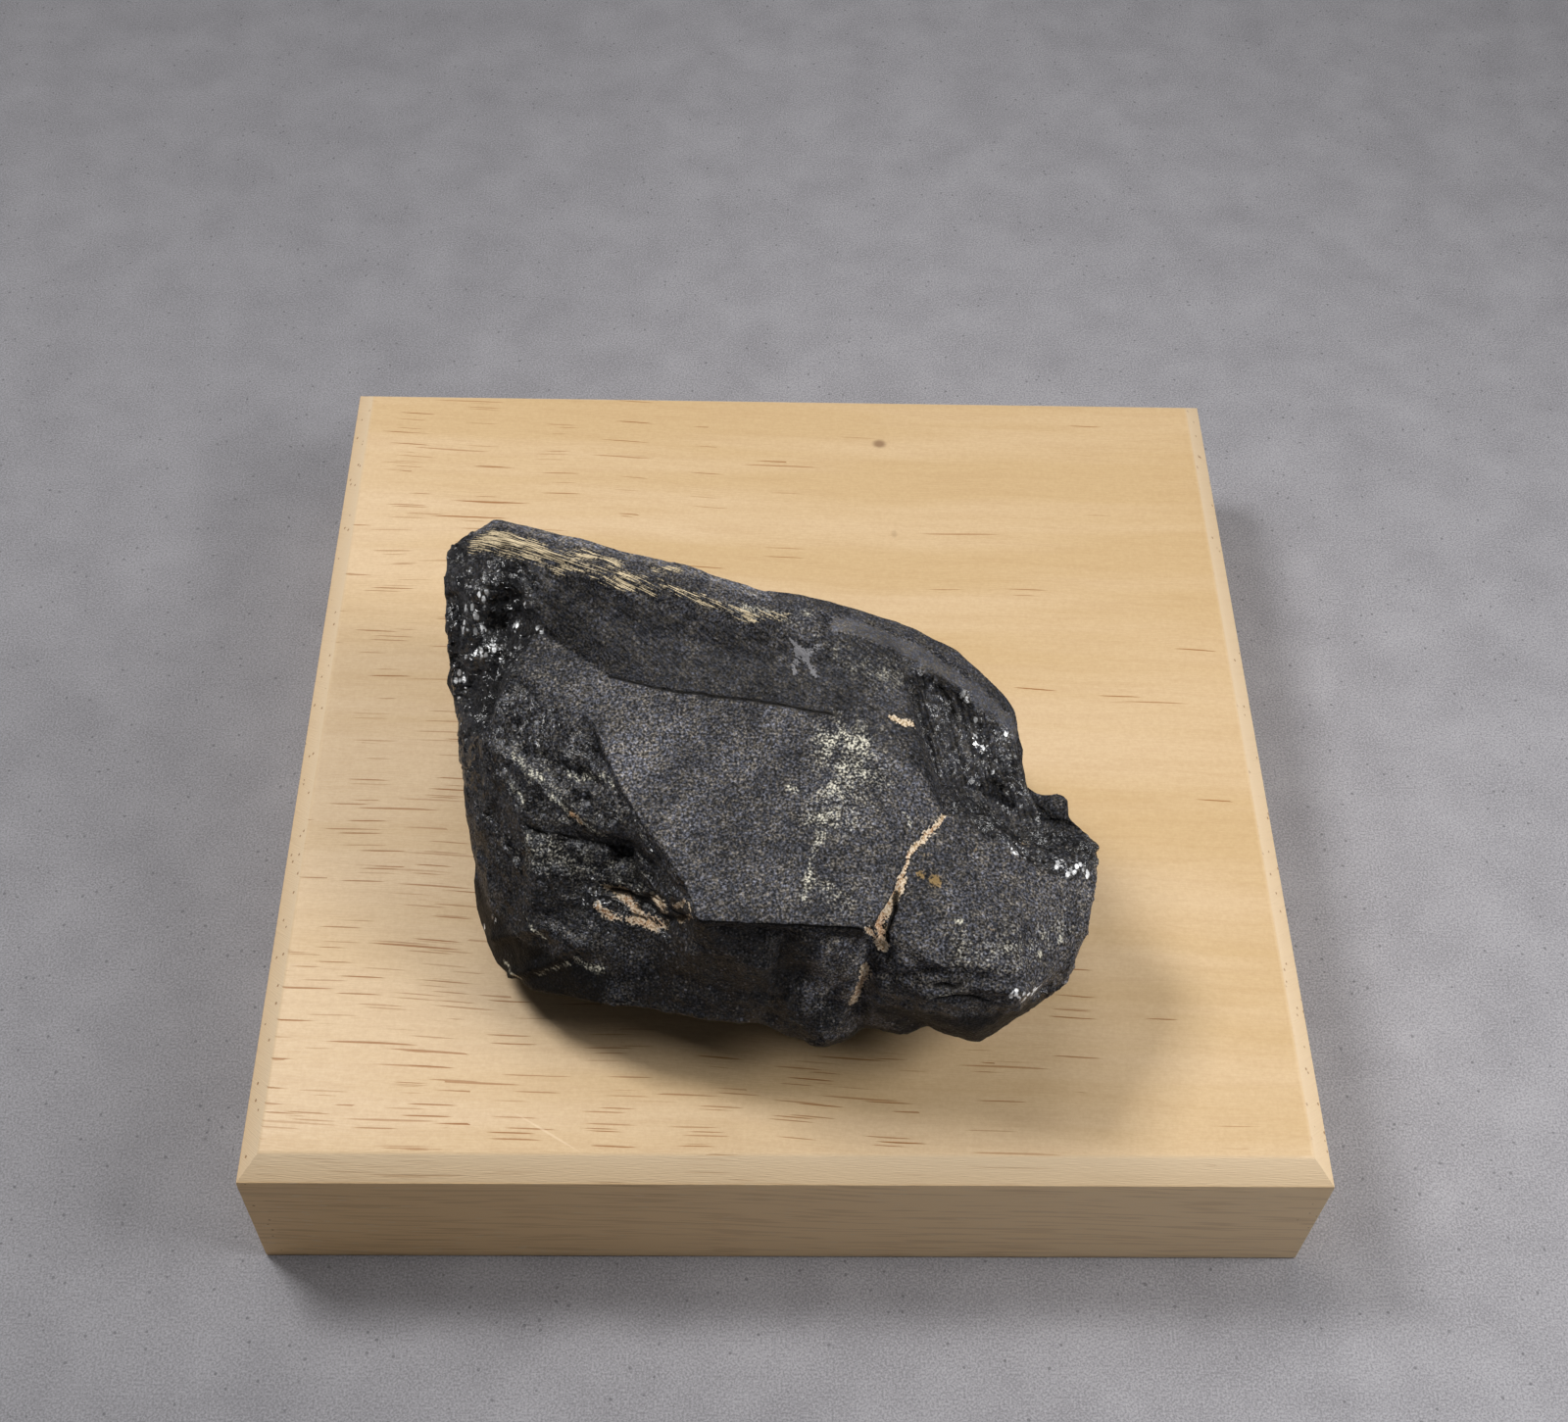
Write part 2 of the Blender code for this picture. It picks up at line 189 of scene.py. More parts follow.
# finishes of the skin.  Each zone lies between two ridge lines and two stations, and has the share of light
# that its grain sends back, a gloss, and the depths of its chips, fine lines and grain.
ZONES = {
    "top_face": (("crease", 0.0), ("light_edge", 0.0), (3.0, 8.0), 0.092, 0.2, 0.0, 0.0, 0.04),
    "sub_facet": (("crease", 0.0), ("light_edge", 0.1), (1.95, 3.0), 0.084, 0.3, 0.05, 0.0, 0.07),
    "flank_high": (("crest", 0.45), ("flank", 0.25), (1.9, 6.2), 0.058, 0.4, 0.05, 0.03, 0.08),
    "flank_low": (("flank", 0.25), ("flank", 0.74), (1.9, 8.0), 0.052, 0.3, 0.03, 0.025, 0.06),
    "crease_band": (("flank", 0.74), ("crease", 0.0), (1.9, 7.4), 0.055, 0.2, 0.0, 0.02, 0.02),
    "flank_right": (("crest", 0.1), ("flank", 0.25), (6.2, 8.0), 0.055, 0.5, 0.12, 0.06, 0.06),
    "fibre_band": (("rear_brow", 0.35), ("crest", 0.45), (1.5, 6.4), 0.07, 0.35, 0.0, 0.14, 0.03),
    "rear_smooth": (("back_shoulder", 0.4), ("rear_brow", 0.5), (5.4, 10.1), 0.07, 0.4, 0.0, 0.02, 0.02),
    "rear_band": (("back_shoulder", 0.6), ("rear_brow", 0.35), (1.5, 5.4), 0.16, 0.35, 0.05, 0.08, 0.05),
    "rim": (("rear_brow", 0.5), ("crest", 0.1), (6.6, 10.1), 0.13, 0.5, 0.0, 0.02, 0.0),
    "recess_wall": (("crest", 0.1), ("flank", 0.1), (7.9, 10.4), 0.055, 0.7, 0.16, 0.05, 0.1),
    "hollow": (("flank", 0.1), ("crease", 0.0), (8.2, 12.0), 0.034, 0.8, 0.5, 0.0, 0.12),
    "left_end": (("rear_brow", 0.6), ("broken", 0.0), (0.0, 1.95), 0.03, 0.9, 0.4, 0.05, 0.03),
    "broken_left": (("light_edge", 0.1), ("ledge", 0.0), (1.95, 4.3), 0.055, 0.72, 0.45, 0.12, 0.12),
    "broken_step": (("ledge", 0.0), ("broken", 0.3), (1.6, 4.4), 0.042, 0.7, 0.45, 0.0, 0.12),
    "dark_facet": (("broken", 0.3), ("front_mid", 0.3), (1.0, 3.9), 0.04, 0.62, 0.3, 0.0, 0.08),
    "low_facet": (("front_mid", 0.3), ("lip", 0.3), (1.0, 3.9), 0.010, 0.4, 0.06, 0.0, 0.02),
    "front": (("ledge", 0.0), ("lip", 0.4), (4.2, 6.3), 0.03, 0.6, 0.12, 0.02, 0.1),
    "front_rough": (("ledge", 0.0), ("front_mid", 0.8), (6.3, 8.0), 0.14, 0.6, 0.3, 0.0, 0.14),
    "segment": (("crease", 0.0), ("broken", 0.3), (8.0, 10.9), 0.085, 0.3, 0.04, 0.0, 0.12),
    "under_segment": (("broken", 0.3), ("front_mid", 0.1), (8.0, 10.9), 0.075, 0.68, 0.3, 0.0, 0.12),
    "lobes": (("front_mid", 0.1), ("lip", 0.9), (6.3, 10.8), 0.014, 0.55, 0.12, 0.0, 0.06),
    "right_side": (("crease", 0.0), ("lip", 0.6), (10.9, 12.0), 0.15, 0.6, 0.25, 0.0, 0.12),
}
# the same values outside all zones, the zones whose grain is drawn out in dashes, and the zones' soft edges
PLAIN = (0.04, 0.4, 0.2, 0.03, 0.07)
LINED_ZONES = ("flank_high", "flank_low", "flank_right", "rear_band")
ZONE_SOFTNESS = 0.3
ZONE_WANDER = 0.35

# The tables below follow paths on the skin.  Each entry has the path's half width, its height, depth or
# strength, and its points.  The points are moved to the skin in steps of this length, and the edges of veins,
# marks and thin marks wander by these shares of a half width.
SKIN_STEP = 0.9
VEIN_WANDER = 0.35
MARK_WANDER = 0.4
THIN_WANDER = 0.2

# ridges and, with a height below 0, grooves
FOLDS = {
    "left_ridge": (
        0.9, 0.8, (-28.3, -3.3, 28.8), (-29.3, -4.8, 26.4), (-30.7, -6.3, 24.1), (-31.6, -8.2, 21.7),
    ),
    "left_border": (
        0.8, 0.5, (-25.9, -5.1, 29.6), (-23.3, -8.1, 28.8), (-24.1, -10.2, 26.8), (-27.3, -16.2, 23.7),
    ),
    "left_groove": (
        1.3, -1.2, (-26.8, -6, 27.8), (-27.7, -7.7, 25.3), (-28.3, -11, 23.5), (-29.4, -14.3, 21),
    ),
    "outer_groove": (0.9, -0.7, (-32.3, -3.5, 24.8), (-32.1, -7.1, 22.3), (-31.8, -9.8, 19.7)),
    "broken_ridge": (
        0.7, 0.5, (-27.1, -19.3, 22), (-23.8, -22.2, 22), (-19.9, -25.3, 21.6), (-17.2, -27.3, 21.2),
    ),
    "broken_groove": (
        0.7, -0.45, (-24.4, -26, 19.3), (-21.7, -26.8, 19.9), (-18.8, -27.6, 20), (-17.5, -28.1, 20),
    ),
    "broken_cut": (0.6, -0.6, (-24.9, -19.8, 22.9), (-20.7, -21.9, 23.5), (-17.7, -24.1, 23.7)),
    "face_step": (0.5, -0.45, (-18.8, -19, 26), (-18, -21.6, 25.3), (-16.5, -25.3, 24.4), (-12, -31.4, 24.2)),
    "pocket": (1.0, -0.4, (-16.2, -31.7, 17), (-13.4, -33, 17.9), (-10.3, -35.5, 19.6)),
    "facet_ridge": (0.4, 0.4, (-26.2, -32.7, 5.1), (-23.5, -34.2, 8.8), (-19.5, -34.1, 13.1)),
    "facet_top": (0.5, 0.4, (-27.8, -29.9, 6.9), (-22.4, -32.3, 13.2), (-19.5, -34.1, 13.1)),
    "lobe_left": (0.8, -0.4, (-0.9, -38.4, 21.9), (-1.5, -39.8, 16.2), (-1.8, -40.4, 11.5)),
    "lobe_right": (0.6, -0.7, (6.3, -38.5, 20.5), (6.3, -39.8, 17), (5.8, -40.2, 12)),
    "right_ridge": (0.5, 0.5, (11.4, -41, 16.9), (15.2, -40.8, 17.9), (20.2, -40.9, 17.3)),
    "right_cut": (0.6, -0.6, (8.5, -40.1, 17.7), (10.8, -40.4, 18.7), (14, -40.6, 19.8)),
    "recess_hole": (1.0, -0.7, (13.2, -13.6, 25.4), (14.6, -14.8, 24.4), (15.7, -15.9, 23.5)),
    "recess_left": (0.8, -0.7, (10.9, -13.8, 25.6), (12.2, -17.4, 23.2), (13.5, -21.1, 21.1)),
    "hollow_step": (0.7, -0.9, (14.2, -25.2, 23), (17.5, -26.4, 21), (21.2, -28.7, 20), (25.2, -29.4, 18.5)),
    "hollow_floor": (1.2, -0.7, (15.8, -23.6, 20.6), (20.3, -23.3, 18.3), (24, -26, 18)),
}
# pale veins
VEINS = {
    "main_top": (0.2, 0.1, (13.3, -26.8, 23.4), (12.4, -28, 23.5), (11.7, -28.8, 23.6)),
    "main_blob": (0.3, 0.2, (12.2, -28.2, 23.6), (11.4, -29.3, 23.6)),
    "main_thin": (0.2, 0.2, (11.4, -29.3, 23.6), (10, -31.2, 23.7), (9.4, -33.3, 23.4)),
    "main_wide": (0.36, 0.4, (9.4, -33.3, 23.4), (8.7, -35, 22.9), (8, -36.3, 22.5), (7.3, -37.5, 21.9)),
    "main_low": (0.36, 0.2, (7.4, -37.3, 22), (7.3, -38.1, 20.8), (7.6, -38.6, 20.2)),
    "vein_branch": (0.25, 0.2, (6.1, -38.4, 23.4), (6.6, -38.2, 22.2), (7, -38.1, 21.1)),
    "lower_vein": (0.42, 0.1, (6.3, -39.6, 17.8), (6, -39.9, 16.2), (5.3, -40.2, 13.2)),
    "pocket_low": (
        0.36, 0.1, (-17.8, -31.9, 15.9), (-16.5, -32.9, 15.7), (-15.2, -33.5, 15.9), (-13.2, -34.3, 16.5),
        (-11.8, -34.9, 17.3),
    ),
    "pocket_rise": (
        0.36, 0.1, (-16.1, -31.4, 17.3), (-15.6, -32, 17.1), (-14.4, -33, 16.9), (-14.4, -33.5, 16.3),
    ),
    "pocket_tip": (0.2, 0.1, (-17.2, -30.7, 17.3), (-16.1, -31.4, 17.3)),
    "pocket_patch": (
        0.38, 0.1, (-13.4, -32.6, 18.6), (-12.8, -33.2, 18.6), (-11.7, -33.9, 19.4), (-12, -34.2, 18.3),
    ),
    "pocket_loop": (
        0.2, 0.1, (-10.7, -34.7, 20.3), (-9.9, -34.9, 21.6), (-9.3, -35.8, 22.8), (-9.1, -36.5, 21.8),
        (-10.6, -35.4, 19),
    ),
    "pocket_middle": (0.3, 0.1, (-14.4, -33.3, 16.5), (-13.1, -34, 16.9), (-11.7, -34.7, 17.7)),
    "slanting_streak": (0.24, 0.1, (-20.1, -25.3, 21.4), (-19.3, -26.2, 21.1)),
    "rim_chip": (0.2, 0.05, (8.7, -17.8, 26.1), (9.6, -18.1, 26), (10.7, -18.2, 25.7)),
}
# narrow black cracks
CRACKS = {
    "vein_side": (0.16, 0.3, (9, -34.5, 23), (8.6, -36.1, 22.3), (8.2, -37.2, 21.8), (8, -38.2, 20.7)),
    "pocket_upper": (
        0.2, 0.4, (-16.7, -31.1, 17.2), (-15.4, -31.8, 17.4), (-14.2, -32.5, 17.6), (-13.3, -32.6, 18.8),
    ),
    "pocket_lower": (
        0.18, 0.35, (-14.4, -32.8, 17), (-13, -33.5, 17.6), (-11.5, -34.7, 18.2), (-10.4, -35.4, 19.3),
        (-9.2, -36.5, 21.2),
    ),
    "pocket_cut": (
        0.13, 0.25, (-16.2, -32.2, 16.6), (-14.6, -33.2, 16.4), (-13, -34.1, 16.9), (-12, -34.6, 17.7),
    ),
    "pocket_short": (0.14, 0.3, (-11.5, -34, 19.7), (-10.9, -34.6, 20), (-10.4, -35.4, 19.5)),
    "groove": (0.07, 0.1, (-1, -38.3, 22.1), (-1.5, -39.5, 17.8), (-2.1, -40.3, 12.8), (-2.4, -40.3, 10.3)),
    "ledge": (0.14, 0.15, (-24.4, -26, 19.3), (-21.7, -26.8, 19.9), (-18.8, -27.6, 20), (-15.9, -28.6, 20.1)),
    "right_upper": (0.16, 0.3, (12.4, -41, 17.9), (13.6, -40.9, 18), (14.6, -40.8, 18.2)),
    "right_lower": (
        0.14, 0.25, (12.7, -41.1, 16.4), (13.8, -41.1, 16.8), (15.5, -41.1, 16.7), (17.2, -41.2, 15.8),
    ),
    "recess": (0.15, 0.2, (13.2, -13.6, 25.6), (14.6, -14.8, 24.6), (15.2, -16.5, 23)),
    "face_edge": (0.11, 0.1, (-17, -14, 26.9), (-12.1, -15.2, 26.6), (-4, -16.2, 26.5), (3.4, -17.7, 26.3)),
    "face_front": (
        0.12, 0.15, (-8.6, -37.4, 22.9), (-4.1, -37.9, 23.2), (2, -38.4, 23.4), (5.6, -38.5, 23.3),
    ),
}
# marks that are only colour: scratches, dust and small chips
PALE_MARKS = {
    "streak": (0.28, 0.6, (2.3, -29.5, 24.7), (1.6, -31.4, 24.5), (1.1, -33.7, 24.1), (0.7, -35.8, 23.9)),
    "dust_rear": (1.1, 0.6, (3, -20.7, 25.9), (4.5, -19.7, 26), (6, -20.1, 25.8)),
    "dust_middle": (1.0, 0.6, (4.6, -22.2, 25.6), (4, -24.1, 25.4), (2.6, -26.9, 25.1), (1.9, -28.4, 24.9)),
    "dust_right": (1.1, 0.55, (4.8, -22.6, 25.6), (7.3, -24, 25.3)),
    "dust_wide": (2.6, 0.4, (5.5, -20.5, 25.8), (3.6, -27.5, 25)),
    "dust_low": (1.6, 0.3, (2, -34.5, 24), (4, -36, 23.8)),
    "dust_left": (0.35, 0.8, (-0.5, -25.1, 25.3), (0.4, -25.4, 25.2)),
    "thin_scratch": (0.12, 1.0, (9.6, -27.1, 24.5), (10.3, -28.2, 24.3)),
    "short_scratch": (0.17, 1.2, (-25.7, -20, 22.3), (-24.2, -21.2, 22.4), (-22.8, -22.5, 22.3)),
    "left_scratch": (0.17, 1.4, (-25.8, -22.4, 21), (-24.8, -23.4, 20.9)),
    "edge_scratch": (
        0.14, 1.1, (-20.5, -22.5, 23.2), (-19.4, -22.8, 23.5), (-17.4, -23.5, 24.4), (-16.6, -24.5, 24.5),
    ),
    "face_line": (
        0.12, 0.5, (-17, -25, 23.7), (-15.9, -26.8, 23), (-14.5, -28.2, 22.9), (-12.9, -30.1, 23.5),
    ),
    "slanting": (
        0.2, 1.0, (-21.7, -24.2, 21.8), (-20.5, -25.3, 21.4), (-19.3, -26.3, 21.1), (-17.3, -27.4, 21),
    ),
    "facet_line": (0.14, 1.1, (-23.5, -34.5, 8.2), (-20.5, -34.9, 11)),
    "facet_side": (0.16, 0.8, (-24.3, -31.4, 12.6), (-22.5, -33, 12.1)),
    "low_scratch": (0.12, 0.9, (-26.8, -31.8, 5.7), (-25, -33.9, 6.4)),
    "low_chips": (0.3, 1.1, (-19.6, -35.2, 11.6), (-18.6, -35.6, 11.2), (-17.6, -35.8, 11.6)),
    "flank_chips": (1.4, 0.35, (3.5, -12, 28.2), (8.5, -13.5, 27)),
    "rear_chips": (0.7, 0.55, (-5.7, -8.8, 30.6), (-1.3, -8.8, 29.6), (0.9, -8.2, 29)),
    "broken_dust": (2.4, 0.22, (-25, -18.5, 22.5), (-18.5, -26.5, 21)),
    "facet_dust": (2.0, 0.12, (-23.8, -12.5, 26.6), (-20.5, -16.8, 26.2)),
    "low_dust": (1.8, 0.3, (-24.5, -27, 18.5), (-15, -31, 18.8)),
    "segment_dust": (1.8, 0.28, (14, -39, 20), (21, -37.6, 18.6)),
    "segment_chip": (0.26, 1.2, (21.6, -37.7, 18), (22, -37.9, 17.8)),
    "groove_left": (0.16, 1.0, (12, -41, 16.9), (13.8, -41, 17.4)),
    "middle_chip": (0.2, 1.2, (14.2, -36.7, 21.9), (14.4, -36.8, 21.9)),
    "side_chip": (0.26, 1.2, (23.9, -35.6, 16.9), (24, -35.5, 16.9)),
    "side_dust": (1.4, 0.3, (22, -36.5, 18.5), (24.5, -34, 17.2)),
}
# a grey scar shaped like a star
SCARS = {
    "middle": (0.32, 1.25, (0.3, -12, 28.4), (1, -12.3, 28.2)),
    "upper_arm": (0.14, 1.15, (-0.3, -11.2, 28.8), (0.5, -12, 28.3)),
    "lower_arm": (0.12, 1.1, (0.4, -12.2, 28.2), (-0.1, -13.9, 27.5)),
    "right_arm": (0.12, 1.1, (0.6, -12, 28.3), (1.6, -11.9, 28.3), (2.2, -11.3, 28.5)),
    "long_arm": (0.15, 1.15, (0.8, -12.4, 28.1), (1.4, -13.3, 27.7), (1.9, -14.1, 27.3)),
}
# strands of tan fibre
STRANDS = {
    "upper": (0.7, 1.25, (-30, 0.1, 29.2), (-26.8, -1.6, 31.3), (-24.4, -2.9, 32.2), (-21.6, -4.9, 32.5)),
    "upper_right": (0.6, 0.6, (-21.6, -4.2, 32.4), (-19.8, -4.1, 32.4), (-16.5, -5.4, 32.6)),
    "lower": (0.36, 0.6, (-22.4, -4.9, 32.4), (-19.1, -6.2, 33), (-16.7, -6.9, 33.1), (-12.4, -7.2, 32.1)),
    "lower_left": (0.4, 0.6, (-28.4, -1.5, 30.4), (-26.5, -2.9, 31.2), (-23.8, -4.4, 31.9)),
    "edge": (0.3, 0.6, (-18.9, -7.4, 32.9), (-15.1, -7.8, 32.5), (-13, -8, 31.9)),
    "end": (0.3, 0.55, (-12.4, -7.3, 32.1), (-9.4, -8.1, 31.3), (-6.9, -8.6, 30.8)),
    "island": (0.35, 0.7, (-13, -5.2, 31.7), (-11, -4.9, 31.2)),
    "crumbs": (0.4, 0.62, (-5.8, -9, 30.5), (-3.9, -9.2, 30.1), (-2.2, -9, 29.8), (-0.8, -8.8, 29.5)),
}

# The tables below hold places on the skin, each with its reach and its factor or strength.
# patches darker or lighter: painted sheen on the top face, painted shade in hollows and on the low lobes,
# tone elsewhere
TONE_SHADE_AND_SHEEN = (
    ((-15.5, -21.5, 25.6), 6.0, 1.5), ((-27.8, -6, 26.8), 1.8, 0.3), ((-26.8, -10.4, 25), 2.2, 0.4),
    ((-29.3, -13, 21.8), 3.4, 0.3), ((-0.2, -39.6, 18), 2.6, 0.4), ((-24.8, -32.9, 8.9), 3.2, 0.35),
    ((19.5, -20.5, 19), 2.5, 0.65), ((14.5, -15.5, 24), 2.4, 0.55), ((20.5, -25.5, 18.4), 2.2, 0.6),
    ((8.5, -16.5, 26.8), 2.6, 1.5), ((26, -30.5, 17.2), 4.0, 1.5), ((4, -30.5, 24.8), 5.0, 1.15),
    ((17, -41.3, 12), 3.6, 0.35), ((-13.5, -29.6, 22), 1.8, 1.2), ((3.2, -41, 12.5), 4.0, 0.4),
)
# clusters of painted glints: small flecks painted white and made to glow faintly, where the coat is also
# glossier
PAINTED_GLINTS = (
    ((-28.8, -4.5, 27.1), 0.9, 1.0), ((-30.7, -6.3, 24.1), 0.9, 1.3), ((-29.5, -7, 24.4), 1.0, 1.0),
    ((-26.2, -7.9, 26.4), 0.7, 1.3), ((-28.8, -8.7, 23.9), 1.2, 1.0), ((-32.3, -9, 19.9), 1.2, 1.1),
    ((-23.7, -9, 27.4), 0.8, 0.9), ((-24.3, -7.4, 28.7), 0.9, 0.8), ((-30, -5.4, 25.3), 1.4, 0.8),
    ((17.3, -17.5, 21.9), 1.0, 1.8), ((19, -28.3, 21.6), 0.6, 1.2), ((15.9, -14.4, 25.2), 0.8, 1.2),
    ((17.1, -16.2, 23.1), 0.6, 1.1), ((19.9, -16.6, 22.2), 0.8, 1.0), ((18.8, -19.8, 19.6), 0.9, 0.6),
    ((24.3, -28.3, 18.4), 0.8, 1.4), ((25.8, -28.4, 17.9), 1.0, 1.4), ((24.9, -29.2, 17.9), 0.8, 1.2),
    ((17.8, -27.2, 21.4), 0.6, 1.3), ((19.8, -28.9, 21.1), 0.5, 1.0), ((26.6, -28.8, 17.6), 0.8, 1.2),
    ((-29.3, -5.1, 26.2), 0.8, 1.2), ((-30.2, -8.3, 22.9), 1.0, 1.2), ((20.4, -41, 16.1), 0.8, 1.5),
    ((19.4, -41.1, 17.2), 0.8, 1.4), ((21.5, -40, 15.5), 1.0, 1.4), ((-12, -35.2, 16.7), 0.5, 1.3),
    ((-19, -31.4, 15.8), 0.5, 1.2), ((-17.7, -31.8, 16.1), 0.4, 1.2), ((-27.9, -28.8, 8.9), 0.5, 1.1),
    ((-29, -27.8, 5.1), 0.6, 1.0), ((-26.6, -19.4, 21), 0.6, 0.8),
)
# spots of ochre
OCHRE_SPOTS = (
    ((12.3, -33.2, 22.7), 1.1, 1.3), ((11, -32.8, 23.1), 0.9, 1.0), ((16.1, -29.5, 22.2), 0.8, 0.7),
    ((17.2, -37, 21), 0.8, 0.6), ((21.4, -26.3, 19.4), 2.2, 0.5), ((-20.1, -25.5, 21.4), 0.7, 1.3),
    ((-1.3, -39, 19.6), 0.45, 0.9), ((-1.8, -40, 15.8), 0.4, 0.8), ((-2.1, -40.4, 13), 0.5, 0.9),
    ((-1.1, -38.6, 21.6), 0.4, 0.8), ((11.6, -31, 23.4), 1.6, 0.5), ((7.6, -37.6, 21.6), 1.7, 0.75),
    ((5.9, -39.9, 15.8), 1.5, 0.6), ((-13.2, -33.8, 16.8), 2.2, 0.35),
)

# ---------------------------------------------------------------- arrays


def smooth_step(low, high, values):
    """0 below low, 1 above high and an S curve between."""
    share = np.clip((values - low) / (high - low), 0.0, 1.0)
    return share * share * (3.0 - 2.0 * share)


def lattice_noise(points, cell, seed):
    """Smooth noise from -1 to 1: random values on a cubic lattice, blended between its corners."""
    values = np.random.default_rng(seed).uniform(-1.0, 1.0, (LATTICE,) * 3)
    place = points / cell + LATTICE_SHIFT
    low = np.floor(place).astype(int)
    part = smooth_step(0.0, 1.0, place - low)
    total = np.zeros(points.shape[:-1])
    for corner in np.ndindex(2, 2, 2):
        weight = np.prod(np.where(np.array(corner) == 1, part, 1.0 - part), axis=-1)
        total += weight * values[tuple(np.moveaxis((low + corner) % LATTICE, -1, 0))]
    return total


def fractal(points, cell, octaves, seed):
    """Noise with finer noise on it: each octave has half the cell and a little over half the depth."""
    return sum(
        lattice_noise(points, cell / 2**octave, seed + octave) * OCTAVE_SHARE**octave
        for octave in range(octaves)
    )


def chips(points, cell, seed):
    """Small flat chips: each point lies on the tilted plane of its nearest seed, and each cell has a seed."""
    random = np.random.default_rng(seed)
    jitter = random.uniform(0.0, 1.0, (LATTICE, LATTICE, LATTICE, 3))
    tilt = random.uniform(-1.0, 1.0, (LATTICE, LATTICE, LATTICE, 3))
    place = points / cell + LATTICE_SHIFT
    low = np.floor(place).astype(int)
    nearest = np.full(points.shape[:-1], np.inf)
    height = np.zeros(points.shape[:-1])
    for corner in np.ndindex(3, 3, 3):
        index = low + corner - 1
        wrapped = tuple(np.moveaxis(index % LATTICE, -1, 0))
        offset = place - index - jitter[wrapped]
        distance = (offset**2).sum(axis=-1)
        closer = distance < nearest
        nearest = np.where(closer, distance, nearest)
        height = np.where(closer, (offset * tilt[wrapped]).sum(axis=-1), height)
    return height


def on_skin(points, path):
    """The path in steps of SKIN_STEP, each step moved to the nearest point of the skin."""
    path = np.array(path, dtype=float)
    reached = np.concatenate([[0.0], np.cumsum(np.linalg.norm(np.diff(path, axis=0), axis=-1))])
    steps = np.linspace(0.0, reached[-1], int(reached[-1] / SKIN_STEP) + 2)
    fine = np.stack([np.interp(steps, reached, path[:, axis]) for axis in range(3)], axis=-1)
    skin = points.reshape(-1, 3)
    away = (skin**2).sum(axis=-1)[None, :] - 2.0 * fine @ skin.T
    return skin[np.argmin(away, axis=1)]


def path_distance(points, path):
    """Distance in millimetres from each point to a path's straight pieces, once the path lies on the skin."""
    path = on_skin(points, path)
    nearest = np.full(points.shape[:-1], np.inf)
    for start, end in zip(path[:-1], path[1:]):
        step = end - start
        share = np.clip(((points - start) @ step) / max(step @ step, 1e-9), 0.0, 1.0)
        nearest = np.minimum(nearest, np.linalg.norm(points - start - share[..., None] * step, axis=-1))
    return nearest


def path_field(points, paths, wander):
    """How far inside a path each point lies, from 0 to 1 at its middle, and that times the path's strength.

    The distance is counted in half widths, with the wander added, and both values fall to 0 at two of them.
    """
    inside = np.zeros(points.shape[:-1])
    strong = np.zeros(points.shape[:-1])
    for half_width, strength, *path in paths.values():
        cone = np.clip(1.0 - (path_distance(points, path) / half_width + wander) / 2.0, 0.0, 1.0)
        inside = np.maximum(inside, cone)
        strong = np.maximum(strong, strength * cone)
    return inside, strong


def folds(points):
    """Ridges and grooves: a bell across each path."""
    return sum(
        height * np.exp(-((path_distance(points, path) / half_width) ** 2))
        for half_width, height, *path in FOLDS.values()
    )


def bell(points, centre, reach):
    """1 at the centre, falling off as a bell to about a seventh at the reach."""
    return np.exp(-2.0 * (np.linalg.norm(points - np.array(centre), axis=-1) / reach) ** 2)


def cones(points, spots):
    """Height of the tallest cone at each point; every spot has its centre, reach and strength."""
    heights = [
        strength * np.clip(1.0 - np.linalg.norm(points - np.array(centre), axis=-1) / reach, 0.0, 1.0)
        for centre, reach, strength in spots
    ]
    return np.max(heights, axis=0)


def soften(values, passes):
    """Each value becomes the mean of itself, counted twice, and its four neighbours, several times over."""
    for _ in range(passes):
        around = np.roll(values, 1, axis=0) + np.roll(values, -1, axis=0)
        along = np.empty_like(values)
        along[:, 1:-1] = values[:, 2:] + values[:, :-2]
        along[:, 0] = 2.0 * values[:, 0]
        along[:, -1] = 2.0 * values[:, -1]
        values = (2.0 * values + around + along) / 6.0
    return values


def outward(points):
    """Unit normals of the skin from the steps along both directions of the grid."""
    along = np.gradient(points, axis=1)
    around = np.roll(points, -1, axis=0) - np.roll(points, 1, axis=0)
    normal = np.cross(around, along)
    return normal / np.maximum(np.linalg.norm(normal, axis=-1, keepdims=True), 1e-9)


# ---------------------------------------------------------------- the crystal


def ridge_points(name, stations):
    """A ridge line read at the given stations, straight between its own points."""
    line = np.array(((0, *LEFT_END), *RIDGES[name], (LAST_STATION, *RIGHT_END)), dtype=float)
    return np.stack([np.interp(stations, line[:, 0], line[:, axis]) for axis in (1, 2, 3)], axis=-1)


def stretch_skin(stations):
    """Grid of points [row, station]: straight strips between each ridge line and the next one round.

    Each row also has its depth of rough relief, its place among the ridge lines and its strips' widths.
    """
    names = list(RIDGES)
    strips = []
    for number, (name, after) in enumerate(zip(names, names[1:] + names[:1])):
        here = ridge_points(name, stations)
        step = ridge_points(after, stations) - here
        depth, rows = STRIPS[name]
        share = np.arange(rows) / rows
        strips.append((
            here + share[:, None, None] * step,
            depth + share * (STRIPS[after][0] - depth),
            number + share,
            np.tile(np.linalg.norm(step, axis=-1), (rows, 1)),
        ))
    return [np.concatenate(values) for values in zip(*strips)]


